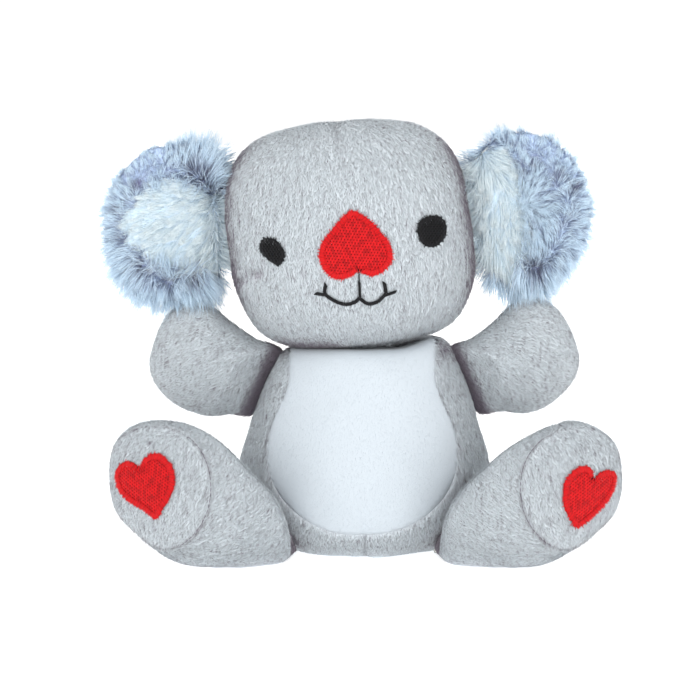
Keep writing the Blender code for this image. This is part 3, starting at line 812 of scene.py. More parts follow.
@dataclass
class Stuffed:
    """A stuffed form: its panels, its hair and its filling."""

    body: str
    filling: str
    cells: int = 44
    seam_depth: float = 0.0009
    seam_width: float = 0.0017
    lump: float = 0.0006
    lump_size: float = 0.013
    cloth: float = 0.0008
    caught: float = 1.0
    fill: float = 0.9
    filling_depth: float = 0.0026
    filling_cells: int = 12
    filling_share: float = 0.35
    caught_size: float = 0.005
    thinned: float = 0.55
    shortened: float = 0.25
    # shaded is the painted shade where the hair is caught in a seam or tuck.
    shaded: float = 0.55
    panels: tuple[Panel, ...] = ()
    tucks: tuple[Tuck, ...] = ()
    tree: BVHTree | None = None

    def rule(self, cube: Vector) -> Vector:
        """Carry a point of the cube to the form."""
        raise NotImplementedError

    def panel_at(self, cube: Vector, point: Vector) -> int:
        """Say which panel a place belongs to."""
        raise NotImplementedError

    def lay_at(self, point: Vector) -> Vector:
        """Give the way that the hair lies."""
        return Vector((0.0, 0.0, -1.0))

    def press_at(self, point: Vector) -> float:
        """Say how flat the hair lies here, from 0 for standing to 1."""
        return 1.0

    def cover_at(self, point: Vector, normal: Vector) -> float:
        """Say how much of the hair grows here, from 0 to 1."""
        return 1.0

    def long_at(self, point: Vector) -> float:
        """Say how long the hair is here, 1 for its full length."""
        return 1.0

    def shade_at(self, point: Vector) -> float:
        """Say how much painted shade darkens the hair and cloth here, from 0 to 1."""
        return 0.0

    def fit(self, bm: bmesh.types.BMesh) -> None:
        """Move the points on a seam that the grid doesn't follow."""

    def tie(self, thing: bpy.types.Object) -> None:
        """Let a piece move with the form."""
        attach(thing, self.body)

    def shaped(self) -> bmesh.types.BMesh:
        """Make the whole skin as one closed surface, with its seams drawn in.

        Returns:
            The surface. Its faces note their panel, its points how hair grows.
        """
        bm = gridded_cube(self.cells)
        noted = bm.verts.layers.float_vector["cube"]
        owner = bm.faces.layers.int.new("panel")
        for vert in bm.verts:
            vert.co = self.rule(vert[noted])
        for face in bm.faces:
            middle = sum((vert[noted] for vert in face.verts), Vector()) / len(face.verts)
            face[owner] = self.panel_at(middle, face.calc_center_median())
        self.fit(bm)
        face_out(bm)
        bm.normal_update()
        self._draw_in(bm, owner)
        face_out(bm)
        bm.normal_update()
        self._note_hair(bm)
        self.tree = BVHTree.FromBMesh(bm)
        return bm

    def _draw_in(self, bm: bmesh.types.BMesh, owner: bmesh.types.BMLayerItem) -> None:
        """Sink the seams and tucks, and let the stuffing show as soft lumps.

        Args:
            bm: The surface.
            owner: The layer that names each face's panel.
        """
        seams = {
            vert
            for edge in bm.edges
            if len({face[owner] for face in edge.link_faces}) > 1
            for vert in edge.verts
        }
        lines = [Tuck(tuple(vert.co.copy() for vert in seams), self.seam_depth, self.seam_width), *self.tucks]
        sinks = [0.0] * len(bm.verts)
        bm.verts.index_update()
        for line in lines:
            if not line.points:
                continue
            near = KDTree(len(line.points))
            for index, point in enumerate(line.points):
                near.insert(point, index)
            near.balance()
            for vert in bm.verts:
                sinks[vert.index] += line.depth * bell(near.find(vert.co)[2], line.width)
        tucked = bm.verts.layers.float.new("tucked")
        deepest = max(self.seam_depth, PROBE * MM)
        for vert in bm.verts:
            swell = noise.noise(vert.co / self.lump_size) * self.lump
            vert.co += vert.normal * (swell - sinks[vert.index])
            vert.co.z = max(vert.co.z, 0.0)
            vert[tucked] = min(1.0, sinks[vert.index] / deepest) ** 3

    def _note_hair(self, bm: bmesh.types.BMesh) -> None:
        """Write on each point how the hair grows there, and the painted shade of hair and cloth.

        Args:
            bm: The surface.
        """
        layers = bm.verts.layers
        lay = layers.float_vector.new("lay")
        cover, long, shade = (layers.float.new(name) for name in ("cover", "long", "shade"))
        for vert in bm.verts:
            way = self.lay_at(vert.co)
            way -= vert.normal * way.dot(vert.normal)
            way = way.normalized() if way.length > PROBE else vert.normal.orthogonal()
            vert[lay] = way * self.press_at(vert.co)
            uneven = 0.65 + 0.7 * noise.noise(vert.co / self.caught_size)
            caught = vert[layers.float["tucked"]] * self.caught * uneven
            vert[cover] = self.cover_at(vert.co, vert.normal) * (1 - self.thinned * caught)
            vert[long] = self.long_at(vert.co) * (1 - self.shortened * caught)
            # Painted shade along seams, darts and puckers, where the hair is caught.
            vert[shade] = max(self.shade_at(vert.co), self.shaded * caught)

    def build(self, seed: int) -> None:
        """Make every piece of the form.

        Args:
            seed: Sets the spread of its hair.
        """
        whole = self.shaped()
        for index, panel in enumerate(self.panels):
            patch = whole.copy()
            owner = patch.faces.layers.int["panel"]
            others = [face for face in patch.faces if face[owner] != index]
            bmesh.ops.delete(patch, geom=others, context="FACES")
            self._sew(panel, patch, seed + index)
        self._stuff()
        whole.free()

    def _sew(self, panel: Panel, patch: bmesh.types.BMesh, seed: int) -> None:
        """Make one panel and its hair.

        Args:
            panel: The panel.
            patch: Its part of the surface, which is used up.
            seed: Sets the spread of its hair.
        """
        outer = object_from(patch.copy(), panel.name + "_ground")
        grown = panel.pile.planted(outer, panel.name + "_hair", seed)
        bpy.data.objects.remove(outer)
        dress(grown, panel.hair, None)
        self.tie(grown)
        patch.normal_update()
        thicken(patch, self.cloth)
        skin = dress(object_from(patch, panel.name), panel.cloth, None, panel.nodes)
        self.tie(skin)

    def _stuff(self) -> None:
        """Make the filling inside the skin."""
        bm = gridded_cube(self.filling_cells)
        noted = bm.verts.layers.float_vector["cube"]
        for vert in bm.verts:
            vert.co = self.rule(vert[noted])
        face_out(bm)
        bm.normal_update()
        moves = [vert.normal * -self.room(vert[noted]) for vert in bm.verts]
        for vert, move in zip(bm.verts, moves):
            vert.co += move
        core = dress(object_from(bm, self.filling + "_core"), FIBRE, None, (self.filling,))
        self.tie(core)

    def room(self, cube: Vector) -> float:
        """Say how far under the skin the filling starts, less where the form is thin.

        Args:
            cube: The place on the cube.

        Returns:
            The depth.
        """
        across = (self.rule(cube) - self.rule(Vector((cube.x, -cube.y, cube.z)))).length
        if abs(cube.y) <= PROBE:
            return self.filling_depth
        return min(self.filling_depth, self.filling_share * across)


# ---- torso ----


@dataclass(frozen=True)
class Seat:
    """Where a limb or an ear is sewn on: the place, the way out, the way along."""

    point: Vector
    out: Vector
    along: Vector

    def on(self, side: Side) -> Seat:
        """Give the same seat on the side that is asked for."""
        return Seat(*(mirrored(item, side) for item in (self.point, self.out, self.along)))

    def ahead(self, distance: float) -> Vector:
        """Give a place this far out from the seat."""
        return GROUND + self.point + self.out * distance

    def steps(self, half: float, count: int = 9) -> tuple[Vector, ...]:
        """List places along the seam, this far either way."""
        shares = [index / (count - 1) * 2 - 1 for index in range(count)]
        return tuple(GROUND + self.point + self.along * (half * share) for share in shares)


def seat_on(rule: Callable[[Vector], Vector], unit: Vector, gap: float = 0.0003) -> Seat:
    """Find the seat on the tangent plane of a form.

    Args:
        rule: The form, as a point for each direction.
        unit: The direction of the seat.
        gap: How far off the form it is.

    Returns:
        A seat with its seam as upright as it can be.
    """
    point = rule(unit)
    side = unit.cross(UP).normalized()
    rise = side.cross(unit).normalized()
    step_side = rule((unit + side * PROBE).normalized()) - point
    step_rise = rule((unit + rise * PROBE).normalized()) - point
    out = step_side.cross(step_rise).normalized()
    if out.dot(unit) < 0:
        out.negate()
    along = (UP - out * UP.dot(out)).normalized()
    return Seat(point + out * gap, out, along)


@dataclass
class Torso(Stuffed):
    """Pear-shaped torso with an oval tummy panel."""

    body: str = "torso"
    filling: str = "torso_stuffing"
    cells: int = 44
    seam_depth: float = 0.0005
    caught: float = 0.4
    rim: float = 0.0045
    shoulder_lift: float = 0.0032
    height: float = 0.072
    form_height: float = 0.0825
    base_width: float = 0.105
    top_width: float = 0.057
    base_depth: float = 0.064
    top_depth: float = 0.046
    base_power: float = 2.5
    top_power: float = 3.2
    floor_cut: float = 0.0005
    crowding: float = 1.4
    tummy_width: float = 0.0648
    tummy_top_width: float = 0.0500
    tummy_middle: tuple[float, float] = (-0.001, 0.036)
    tummy_drop: float = 0.0266
    arm_height: float = 0.0600
    leg_height: float = 0.0150
    leg_turn_deg: float = 42.0
    leg_roll_deg: float = 20.0
    arm_half: float = 0.012
    leg_half: float = 0.017
    # Reaches and strength of the painted shade at the arm and leg seams, and of the painted light on the
    # sides.
    arm_shade: float = 0.0026
    leg_shade: float = 0.0038
    side_light: float = 0.45
    seam_shade: float = 0.8
    dart_from: float = 0.42
    dart_step: float = 0.05
    dart_points: int = 12
    dart_depth: float = 0.0006
    dart_width: float = 0.0013
    neck_cover: float = 0.0715
    panels: tuple[Panel, ...] = (
        Panel("tummy", ("tummy_panel",), WHITE_CLOTH, WHITE_HAIR, TUMMY_SHORT),
        Panel("torso_left", ("torso_left_panel",), GREY_CLOTH, GREY_HAIR, SHORT),
        Panel("torso_right", ("torso_right_panel",), GREY_CLOTH, GREY_HAIR, SHORT),
        Panel("torso_back", ("torso_back_panel",), GREY_CLOTH, GREY_HAIR, BACK_SHORT),
    )

    def __post_init__(self) -> None:
        """Note the dart below the tummy panel and where the limbs are sewn on."""
        middle = self.tummy_middle[0]
        shares = [self.dart_from + self.dart_step * step for step in range(self.dart_points)]
        heights = [self.tummy_middle[1] - self.tummy_drop * share for share in shares]
        dart = tuple(GROUND + self.front(middle, height) for height in heights)
        self.tucks = (Tuck(dart, self.dart_depth, self.dart_width),)
        self.arm_seam = [self.arm_seat().on(side).steps(self.arm_half) for side in Side]
        self.leg_seam = [self.leg_seat().on(side).steps(self.leg_half) for side in Side]

    def along_axis(self, unit: Vector) -> Vector:
        """Carry a direction to the pear, before the neck and the ground cut it.

        Args:
            unit: The direction.

        Returns:
            The point of the pear.
        """
        share = math.copysign(1 - (1 - abs(unit.z)) ** self.crowding, unit.z)
        rise = (share + 1) / 2
        turn = math.atan2(unit.y, unit.x)
        rounding = round_over(share, self.top_power if unit.z > 0 else self.base_power)
        width = mix(self.base_width, self.top_width, rise) * rounding
        depth = mix(self.base_depth, self.top_depth, rise) * rounding
        height = self.form_height * rise - self.floor_cut
        return Vector((math.cos(turn) * width / 2, math.sin(turn) * depth / 2, height))

    def rule(self, cube: Vector) -> Vector:
        """Carry a point of the cube to the torso.

        Args:
            cube: The place on the cube.

        Returns:
            The point of the form.
        """
        point = self.along_axis(unit_of(cube))
        near = max(0.0, 1 - abs(point.z - self.height) / self.rim)
        lifted = self.lifted(point.x, point.z)
        point.z = max(min(point.z, self.height) - near**2 * self.rim / 4, 0.0) + lifted
        return GROUND + point

    def lifted(self, across: float, height: float) -> float:
        """Say how much the right shoulder stands up here."""
        return self.shoulder_lift * ease(across, 0.009, 0.024) * ease(height, 0.052, self.height)

    def half_sizes(self, height: float) -> tuple[float, float]:
        """Give half the width and half the depth at a height.

        Args:
            height: How high above the ground.

        Returns:
            Half the width and half the depth.
        """
        rise = (height + self.floor_cut) / self.form_height
        share = rise * 2 - 1
        rounding = round_over(share, self.top_power if share > 0 else self.base_power)
        width = mix(self.base_width, self.top_width, rise) * rounding
        depth = mix(self.base_depth, self.top_depth, rise) * rounding
        return width / 2, depth / 2

    def front(self, across: float, height: float) -> Vector:
        """Give the place on the front of the torso, this far across and up."""
        width, depth = self.half_sizes(height)
        return Vector((across, -depth * math.sqrt(max(0.0, 1 - (across / width) ** 2)), height))

    def unit_at(self, height: float, turn_deg: float) -> Vector:
        """Give the direction of a height, turned forward from the right.

        Args:
            height: How high above the ground.
            turn_deg: Degrees turned forward from the right.

        Returns:
            The direction.
        """
        share = (height + self.floor_cut) / self.form_height * 2 - 1
        rise = math.copysign(1 - (1 - abs(share)) ** (1 / self.crowding), share)
        turn = math.radians(turn_deg)
        level = math.sqrt(1 - rise * rise)
        return Vector((math.cos(turn) * level, -math.sin(turn) * level, rise))

    def arm_seat(self) -> Seat:
        """Find where the right arm is sewn on."""
        return seat_on(self.along_axis, self.unit_at(self.arm_height, 0.0))

    def leg_seat(self) -> Seat:
        """Find where the right leg is sewn on.

        Returns:
            The seat.
        """
        seat = seat_on(self.along_axis, self.unit_at(self.leg_height, self.leg_turn_deg))
        lean = Matrix.Rotation(-math.radians(self.leg_roll_deg), 3, seat.out)
        return Seat(seat.point, seat.out, lean @ seat.along)

    def tummy_edge(self, point: Vector) -> tuple[Vector, float]:
        """Measure a place against the edge of the tummy panel.

        Args:
            point: The place.

        Returns:
            The place on the edge that is nearest to it, across and up from the
            middle of the panel, and the share of the way there that it is at.
        """
        across = point.x - GROUND.x - self.tummy_middle[0]
        up = point.z - self.tummy_middle[1]
        half = self.tummy_width / 2
        if up > 0:
            half = mix(half, self.tummy_top_width / 2, ease(up, 0.004, 0.028))
            share = abs(across) / half
            return Vector((across / max(share, PROBE), up)), share
        share = math.hypot(across / half, up / self.tummy_drop)
        return Vector((across, up)) / max(share, PROBE), share

    def panel_at(self, cube: Vector, point: Vector) -> int:
        """Say which panel a place belongs to.

        Args:
            cube: The place on the cube.
            point: The place.

        Returns:
            Its place in the list of panels.
        """
        if cube.y > 0:
            return 3
        if self.tummy_edge(point)[1] < 1:
            return 0
        return 1 if cube.x < 0 else 2

    def fit(self, bm: bmesh.types.BMesh) -> None:
        """Bring the edge of the tummy panel onto its line.

        Args:
            bm: The surface.
        """
        owner = bm.faces.layers.int["panel"]
        for vert in bm.verts:
            owners = {face[owner] for face in vert.link_faces}
            top = self.height - 0.0012 + self.lifted(vert.co.x - GROUND.x, self.height)
            if 0 in owners and len(owners) > 1 and vert.co.z < top:
                edge = self.tummy_edge(vert.co)[0] + Vector(self.tummy_middle)
                before = self.front(vert.co.x - GROUND.x, vert.co.z)
                vert.co += self.front(edge.x, edge.y) - before

    def lay_at(self, point: Vector) -> Vector:
        """Let the hair lie down the torso and a little outward."""
        return Vector(((point.x - GROUND.x) * 4, 0.0, -1.0))

    def cover_at(self, point: Vector, normal: Vector) -> float:
        """Leave out the neck and the ground."""
        top = self.neck_cover + self.lifted(point.x - GROUND.x, self.height)
        return ease(point.z, 0.0004, 0.002) * (1 - ease(point.z, top, top + 0.0005))

    def long_at(self, point: Vector) -> float:
        """Keep the hair short at the ground."""
        return 0.45 + 0.55 * ease(point.z, 0.001, 0.006)

    def shade_at(self, point: Vector) -> float:
        """Paint shade where the arms and the legs are sewn on and under the head, and paint light on the
        sides.

        Args:
            point: The place.

        Returns:
            The painted shade, below 0 for painted light.
        """
        shade = 0.0
        for reach, seams in ((self.arm_shade, self.arm_seam), (self.leg_shade, self.leg_seam)):
            for seam in seams:
                near = min((point - place).length for place in seam)
                shade = max(shade, bell(near, reach) * self.seam_shade)
        # Painted light: lighter hair on the sides, which the arms and legs shade.
        shade -= self.side_light * ease(abs(point.x - GROUND.x), 0.020, 0.030) * (1 - shade)
        # Painted shade just under the head.
        under = bell(point.z - self.height, 0.0035) * 0.35
        if under > 0.05:
            shade = max(shade, under)
        # The painted shade is weaker on the white tummy.
        white = self.tummy_edge(point)[1] < 1 and point.y < GROUND.y
        return shade * 0.25 if white else shade


# ---- head ----


@dataclass
class Head(Stuffed):
    """Rounded block of a head that leans to one side."""

    body: str = "head"
    filling: str = "head_stuffing"
    cells: int = 46
    width: float = 0.083
    height: float = 0.077
    depth: float = 0.072
    offset: float = -0.0053
    forward: float = 0.002
    lean_deg: float = 6.5
    skew: float = 0.014
    side_power: float = 3.1
    face_power: float = 2.5
    neck_height: float = 0.072
    gap: float = 0.0003
    ear_rise: tuple[float, float] = (0.0100, 0.0020)
    ear_half: float = 0.021
    ear_shade: float = 0.0115
    bare: tuple[tuple[Outline, float], ...] = ()
    panels: tuple[Panel, ...] = (
        Panel("head_face", ("head_face_panel",), GREY_CLOTH, GREY_HAIR, SHORT),
        Panel("head_back_left", ("head_back_left_panel",), GREY_CLOTH, GREY_HAIR, BACK_SHORT),
        Panel("head_back_right", ("head_back_right_panel",), GREY_CLOTH, GREY_HAIR, BACK_SHORT),
    )

    def __post_init__(self) -> None:
        """Place the head, its dart and its puckers."""
        middle = Vector((self.offset, -self.forward, self.neck_height + self.height / 2))
        lean = Matrix.Rotation(-math.radians(self.lean_deg), 4, "Y")
        self.placed = Matrix.Translation(GROUND + middle) @ lean
        self.tucks = (
            self.tuck(((-0.6, 38.2), (-0.2, 35.0), (0.2, 30.0), (0.8, 24.5)), 0.0007, 0.0020),
            self.tuck(((-40.1, -11.5), (-37.3, -10.3), (-34.0, -9.3), (-31.5, -8.5)), 0.0012, 0.0019),
            self.tuck(((-39.9, -6.0), (-37.5, -7.0), (-35.5, -7.6)), 0.0007, 0.0018),
            self.tuck(((-30.0, -5.0), (-28.0, -7.0), (-25.5, -7.9)), 0.0005, 0.0022),
            self.tuck(((33.0, -4.5), (35.5, -7.5), (37.5, -11.0)), 0.0006, 0.0022),
        )
        self.ear_seam = [self.ear_seat(side).steps(self.ear_half) for side in Side]

    def tuck(self, line: Plan, depth: float, width: float) -> Tuck:
        """Draw the face in along a line that is given in millimetres."""
        places = open_curve([Vector(corner) * MM for corner in line], 6)
        return Tuck(tuple(self.front(place.x, place.y) for place in places), depth, width)

    def upright(self, unit: Vector) -> Vector:
        """Carry a direction to the head before it leans.

        Args:
            unit: The direction.

        Returns:
            The point of the upright head.
        """
        turn = math.atan2(unit.y, unit.x)
        width = self.width * round_over(unit.z, self.side_power)
        depth = self.depth * round_over(unit.z, self.face_power)
        return Vector((math.cos(turn) * width / 2, math.sin(turn) * depth / 2, unit.z * self.height / 2))

    def rule(self, cube: Vector) -> Vector:
        """Carry a point of the cube to the head.

        Args:
            cube: The place on the cube.

        Returns:
            The point of the form.
        """
        place = self.upright(unit_of(cube))
        skewed = Vector((place.x - self.skew * place.z, place.y, place.z - self.skew * place.x))
        point = self.placed @ skewed
        point.z = max(point.z, self.neck_height + self.gap)
        return point

    def front(self, across: float, up: float, lift: float = 0.0) -> Vector:
        """Give the place on the face, this far from its middle and off it.

        Args:
            across: How far to the right of the middle.
            up: How far above the middle.
            lift: How far off the cloth.

        Returns:
            The place on the head.
        """
        rise = up / (self.height / 2)
        share = across / (self.width / 2 * round_over(rise, self.side_power))
        deep = self.depth / 2 * round_over(rise, self.face_power) * math.sqrt(max(0.0, 1 - share * share))
        return self.placed @ Vector((across, -deep - lift, up))

    def ear_seat(self, side: Side) -> Seat:
        """Find where an ear is sewn on, from the middle of the ground.

        Args:
            side: Which side of the toy.

        Returns:
            The seat.
        """
        rise = self.ear_rise[0 if side is Side.LEFT else 1] / (self.height / 2)
        seat = seat_on(self.upright, Vector((math.sqrt(1 - rise**2), 0.0, rise))).on(side)
        turn = self.placed.to_3x3()
        return Seat(self.placed @ seat.point - GROUND, turn @ seat.out, turn @ seat.along)

    def panel_at(self, cube: Vector, point: Vector) -> int:
        """Say which panel a place belongs to.

        Args:
            cube: The place on the cube.
            point: The place; not used.

        Returns:
            Its place in the list of panels.
        """
        if cube.y < 0:
            return 0
        return 1 if cube.x < 0 else 2

    def lay_at(self, point: Vector) -> Vector:
        """Let the hair lie down and outward from the dart.

        Args:
            point: The place.

        Returns:
            The direction, of any length.
        """
        place = self.placed.inverted() @ point
        outward = place.x / self.width * (0.9 if place.z > 0 else 0.5)
        return self.placed.to_3x3() @ Vector((outward, -0.15, -1.0))

    def cover_at(self, point: Vector, normal: Vector) -> float:
        """Leave out the neck and what is worked in thread.

        Args:
            point: The place.
            normal: The way the skin faces there; not used.

        Returns:
            The share, 0 for bare cloth.
        """
        if point.y < self.placed.translation.y:
            place = self.placed.inverted() @ point
            for outline, margin in self.bare:
                if outline.inside((place.x, place.z), margin):
                    return 0.0
        return ease(point.z - self.neck_height, 0.0003, 0.0008)

    def shade_at(self, point: Vector) -> float:
        """Paint shade beside the ears and under the chin.

        Args:
            point: The place.

        Returns:
            The painted shade, below 0 for painted light.
        """
        # Painted shade beside the ears, and under the chin to either side of its middle.
        near = min((point - place).length for seam in self.ear_seam for place in seam)
        aside = ease(abs(point.x - GROUND.x - 0.002), 0.004, 0.016)
        chin = bell(point.z - self.neck_height, 0.0032) * mix(0.10, 0.75, aside)
        return max(bell(near, self.ear_shade) * 0.75, chin)

    def surface(self, across: float, up: float, lift: float) -> Vector:
        """Give the place on the sewn face, this far from its middle and off it.

        Args:
            across: How far to the right of the middle.
            up: How far above the middle.
            lift: How far off the cloth.

        Returns:
            The place on the face.
        """
        turn = self.placed.to_3x3()
        start = self.placed @ Vector((across, -self.depth, up))
        hit, normal, _, _ = self.tree.ray_cast(start, turn @ -AHEAD)
        return hit + normal * lift


# ---- ears ----


@dataclass(frozen=True)
class Patch:
    """An oval of white hair inside an ear, by its middle and half its sizes."""

    across: float
    up: float
    half_width: float
    half_height: float

    def share(self, place: Vector) -> float:
        """Give the share of the way from its middle to its edge that a place is at."""
        return math.hypot((place.x - self.across) / self.half_width, (place.z - self.up) / self.half_height)


PATCHES = {
    Side.LEFT: (Patch(-0.0010, -0.0005, 0.0165, 0.0150), Patch(-0.0150, -0.0050, 0.0065, 0.0140)),
    Side.RIGHT: (Patch(-0.0085, 0.0010, 0.0085, 0.0225), Patch(-0.0150, -0.0030, 0.0070, 0.0170)),
}
REACHES = {
    Side.LEFT: (
        (-180, 1.3), (-129, 1.3), (-118, 1.60), (-89, 1.0), (-62, 1.33), (-31, 1.02), (-11, 0.66), (34, 0.56),
        (51, 0.28), (82, 0.28), (92, 0.38), (112, 1.10), (126, 1.45), (180, 1.4),
    ),
    Side.RIGHT: (
        (-180, 1.3), (-128, 1.6), (-112, 1.55), (-84, 1.25), (-71, 1.0), (-54, 0.68), (-37, 0.58),
        (-19, 0.68), (9, 0.60), (40, 0.34), (75, 0.36), (92, 0.42), (111, 0.85), (130, 1.15), (180, 1.2),
    ),
}


@dataclass
class Ear(Stuffed):
    """Round ear of long fur, with a white inner side."""

    side: Side = Side.LEFT
    seat: Seat | None = None
    cells: int = 26
    fill: float = 0.35
    lump: float = 0.0004
    caught: float = 0.0
    width: float = 0.0395
    height: float = 0.0515
    thickness: float = 0.014
    power: float = 2.05
    root_share: float = 0.86
    pinch_length: float = 0.008
    pinch_share: float = 0.35
    beside_head: float = 0.0032
    parting_at: float = 0.71
    parting_width: float = 0.14
    parting_unrest: float = 0.26
    rim_from: float = 0.80
    back_from: float = 0.12
    trimmed_from: float = 0.3
    root_reach: float = 1.35
    middle_reach: float = 0.62
    ragged_size: float = 0.0035
    raggedness: float = 0.16
    tuft_size: float = 0.004

    def __post_init__(self) -> None:
        """Place the ear on its seat and name its panels."""
        self.body = f"ear_{self.side.word}"
        self.filling = self.body + "_wadding"
        self.radius = self.width / (1 + self.root_share)
        self.behind = self.seat.out.cross(self.seat.along)
        if self.behind.dot(AHEAD) > 0:
            self.behind.negate()
        inner = self.body + "_inner"
        self.panels = (
            Panel(inner, (inner + "_panel",), EAR_WHITE_CLOTH, EAR_WHITE_HAIR, EAR_WHITE),
            Panel(self.body + "_rim", (self.body + "_fur_panel",), EAR_CLOTH, BLUE_HAIR, EAR_RIM),
            Panel(self.body + "_ring", (), EAR_CLOTH, BLUE_HAIR, EAR_LONG),
            Panel(self.body + "_back", (), EAR_CLOTH, BLUE_HAIR, EAR_BACK),
        )

    def rule(self, cube: Vector) -> Vector:
        """Carry a point of the cube to the ear.

        Args:
            cube: The place on the cube.

        Returns:
            The point of the form.
        """
        unit = unit_of(cube)
        turn = math.atan2(unit.z, unit.x)
        reach = math.hypot(unit.x, unit.z)
        bend = 2 / self.power
        across = math.copysign(abs(math.cos(turn)) ** bend, math.cos(turn))
        up = math.copysign(abs(math.sin(turn)) ** bend, math.sin(turn))
        out = max(-0.0012, self.radius * (self.root_share + reach * across))
        swell = mix(self.pinch_share, 1.0, min(1.0, max(out, 0.0) / self.pinch_length))
        place = self.seat.point + self.seat.out * out + self.seat.along * (self.height / 2 * reach * up)
        return GROUND + place + self.behind * (self.thickness / 2 * unit.y * swell)

    def local(self, point: Vector) -> Vector:
        """Measure a place from the middle of the ear: across, behind, along."""
        away = point - GROUND - self.seat.point - self.seat.out * self.radius * self.root_share
        return Vector((away.dot(self.seat.out), away.dot(self.behind), away.dot(self.seat.along)))

    def whiteness(self, point: Vector) -> float:
        """Say how white the fur is here, from 0 to 1.

        Args:
            point: The place.

        Returns:
            The whiteness, 1 on the patch.
        """
        place = self.local(point)
        if place.y > 0:
            return 0.0
        share = min(patch.share(place) for patch in PATCHES[self.side])
        ragged = noise.noise(point / self.ragged_size) * self.raggedness
        return 1.0 - ease(share + ragged, 0.90, 1.10)

    def panel_at(self, cube: Vector, point: Vector) -> int:
        """Say which panel a place belongs to.

        Args:
            cube: The place on the cube; not used.
            point: The place.

        Returns:
            Its place in the list of panels.
        """
        place = self.local(point)
        if self.whiteness(point) > 0.5:
            return 0
        if place.y > self.thickness * self.back_from:
            return 3
        return 1 if self.from_middle(place) > self.rim_from else 2

    def out_of(self, place: Vector) -> float:
        """Measure how far a place is from the seam on the head."""
        return place.x + self.radius * self.root_share

    def from_middle(self, place: Vector) -> float:
        """Give the share of the way from the middle of the ear to its edge."""
        return math.hypot(place.x / self.radius, place.z / (self.height / 2))

    def lay_at(self, point: Vector) -> Vector:
        """Part the fur along a ring: outward past it, inward before it.

        Args:
            point: The place.

        Returns:
            The direction, of any length.
        """
        place = self.local(point)
        if self.out_of(place) < self.beside_head:
            return -self.seat.out
        radial = self.seat.out * place.x + self.seat.along * place.z
        if radial.length < PROBE * MM:
            radial = self.seat.out.copy()
        radial.normalize()
        if place.y > 0:
            return radial * 0.8 - UP * 0.4
        if self.whiteness(point) > 0.5:
            return self.seat.out * (0.9 if self.side is Side.LEFT else 0.25) - UP * 0.35 + radial * 0.3
        spread = ease(self.past_parting(place), -0.11, 0.11) * 2 - 1
        return radial * spread + self.seat.along * 0.15

    def past_parting(self, place: Vector) -> float:
        """Say how far past the ragged parting a place is, as a share of the radius."""
        return self.from_middle(place) + noise.noise(place / 0.005) * self.parting_unrest - self.parting_at

    def press_at(self, point: Vector) -> float:
        """Let the fur stand up beside the head, so that it hides the seam."""
        return mix(0.30, 1.0, ease(self.out_of(self.local(point)), 0.0030, 0.0070))

    def cover_at(self, point: Vector, normal: Vector) -> float:
        """Leave out the seam on the head."""
        return ease(self.out_of(self.local(point)), -0.0002, 0.0004)

    def long_at(self, point: Vector) -> float:
        """Keep the fur shorter beside the head and in the middle.

        Args:
            point: The place.

        Returns:
            The share of the full length.
        """
        place = self.local(point)
        out = self.out_of(place)
        beside = mix(0.72 + 0.23 * ease(place.z, 0.006, 0.018), 1.0, ease(out, 0.004, 0.010))
        if out < self.beside_head:
            return self.root_reach
        rim = ease(self.from_middle(place), 0.45, 0.85)
        wanted = self.reach_at(math.degrees(math.atan2(place.z, place.x)))
        if place.y >= self.thickness * self.trimmed_from:
            wanted = min(1.0, wanted)
        return beside * mix(self.middle_reach, wanted, rim)

    def reach_at(self, bearing: float) -> float:
        """Give how far the fur reaches at a bearing, as a share of its length.

        Args:
            bearing: Degrees from outward, 90 for up.

        Returns:
            The share, read off a line between the noted ones.
        """
        rows = REACHES[self.side]
        for low, high in zip(rows, rows[1:]):
            if bearing <= high[0]:
                return mix(low[1], high[1], max(0.0, (bearing - low[0]) / (high[0] - low[0])))
        return rows[-1][1]

    def shade_at(self, point: Vector) -> float:
        """Paint shade as darker roots where the fur parts, in the middle and beside the head.

        Args:
            point: The place.

        Returns:
            The painted shade, below 0 for painted light.
        """
        place = self.local(point)
        # Painted shade: darker roots at the ragged parting, in the middle and beside the head; none on the
        # white patch.
        tuft = max(0.0, 0.45 + 1.1 * noise.noise(point / self.tuft_size))
        middle = 1.0 - ease(self.from_middle(place), 0.70, 0.95)
        parting = max(bell(self.past_parting(place), self.parting_width), 0.45 * middle) * 0.75 * tuft
        root = bell(self.out_of(place), 0.003) * 0.5
        return max(parting if place.y < 0 else 0.0, root) * (1.0 - self.whiteness(point))

    def tie(self, thing: bpy.types.Object) -> None:
        """Let the ear bend beside the head."""
        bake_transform(thing, "head", self.body, start=self.seat.ahead(0.0), end=self.seat.ahead(0.007))


# ---- arms ----


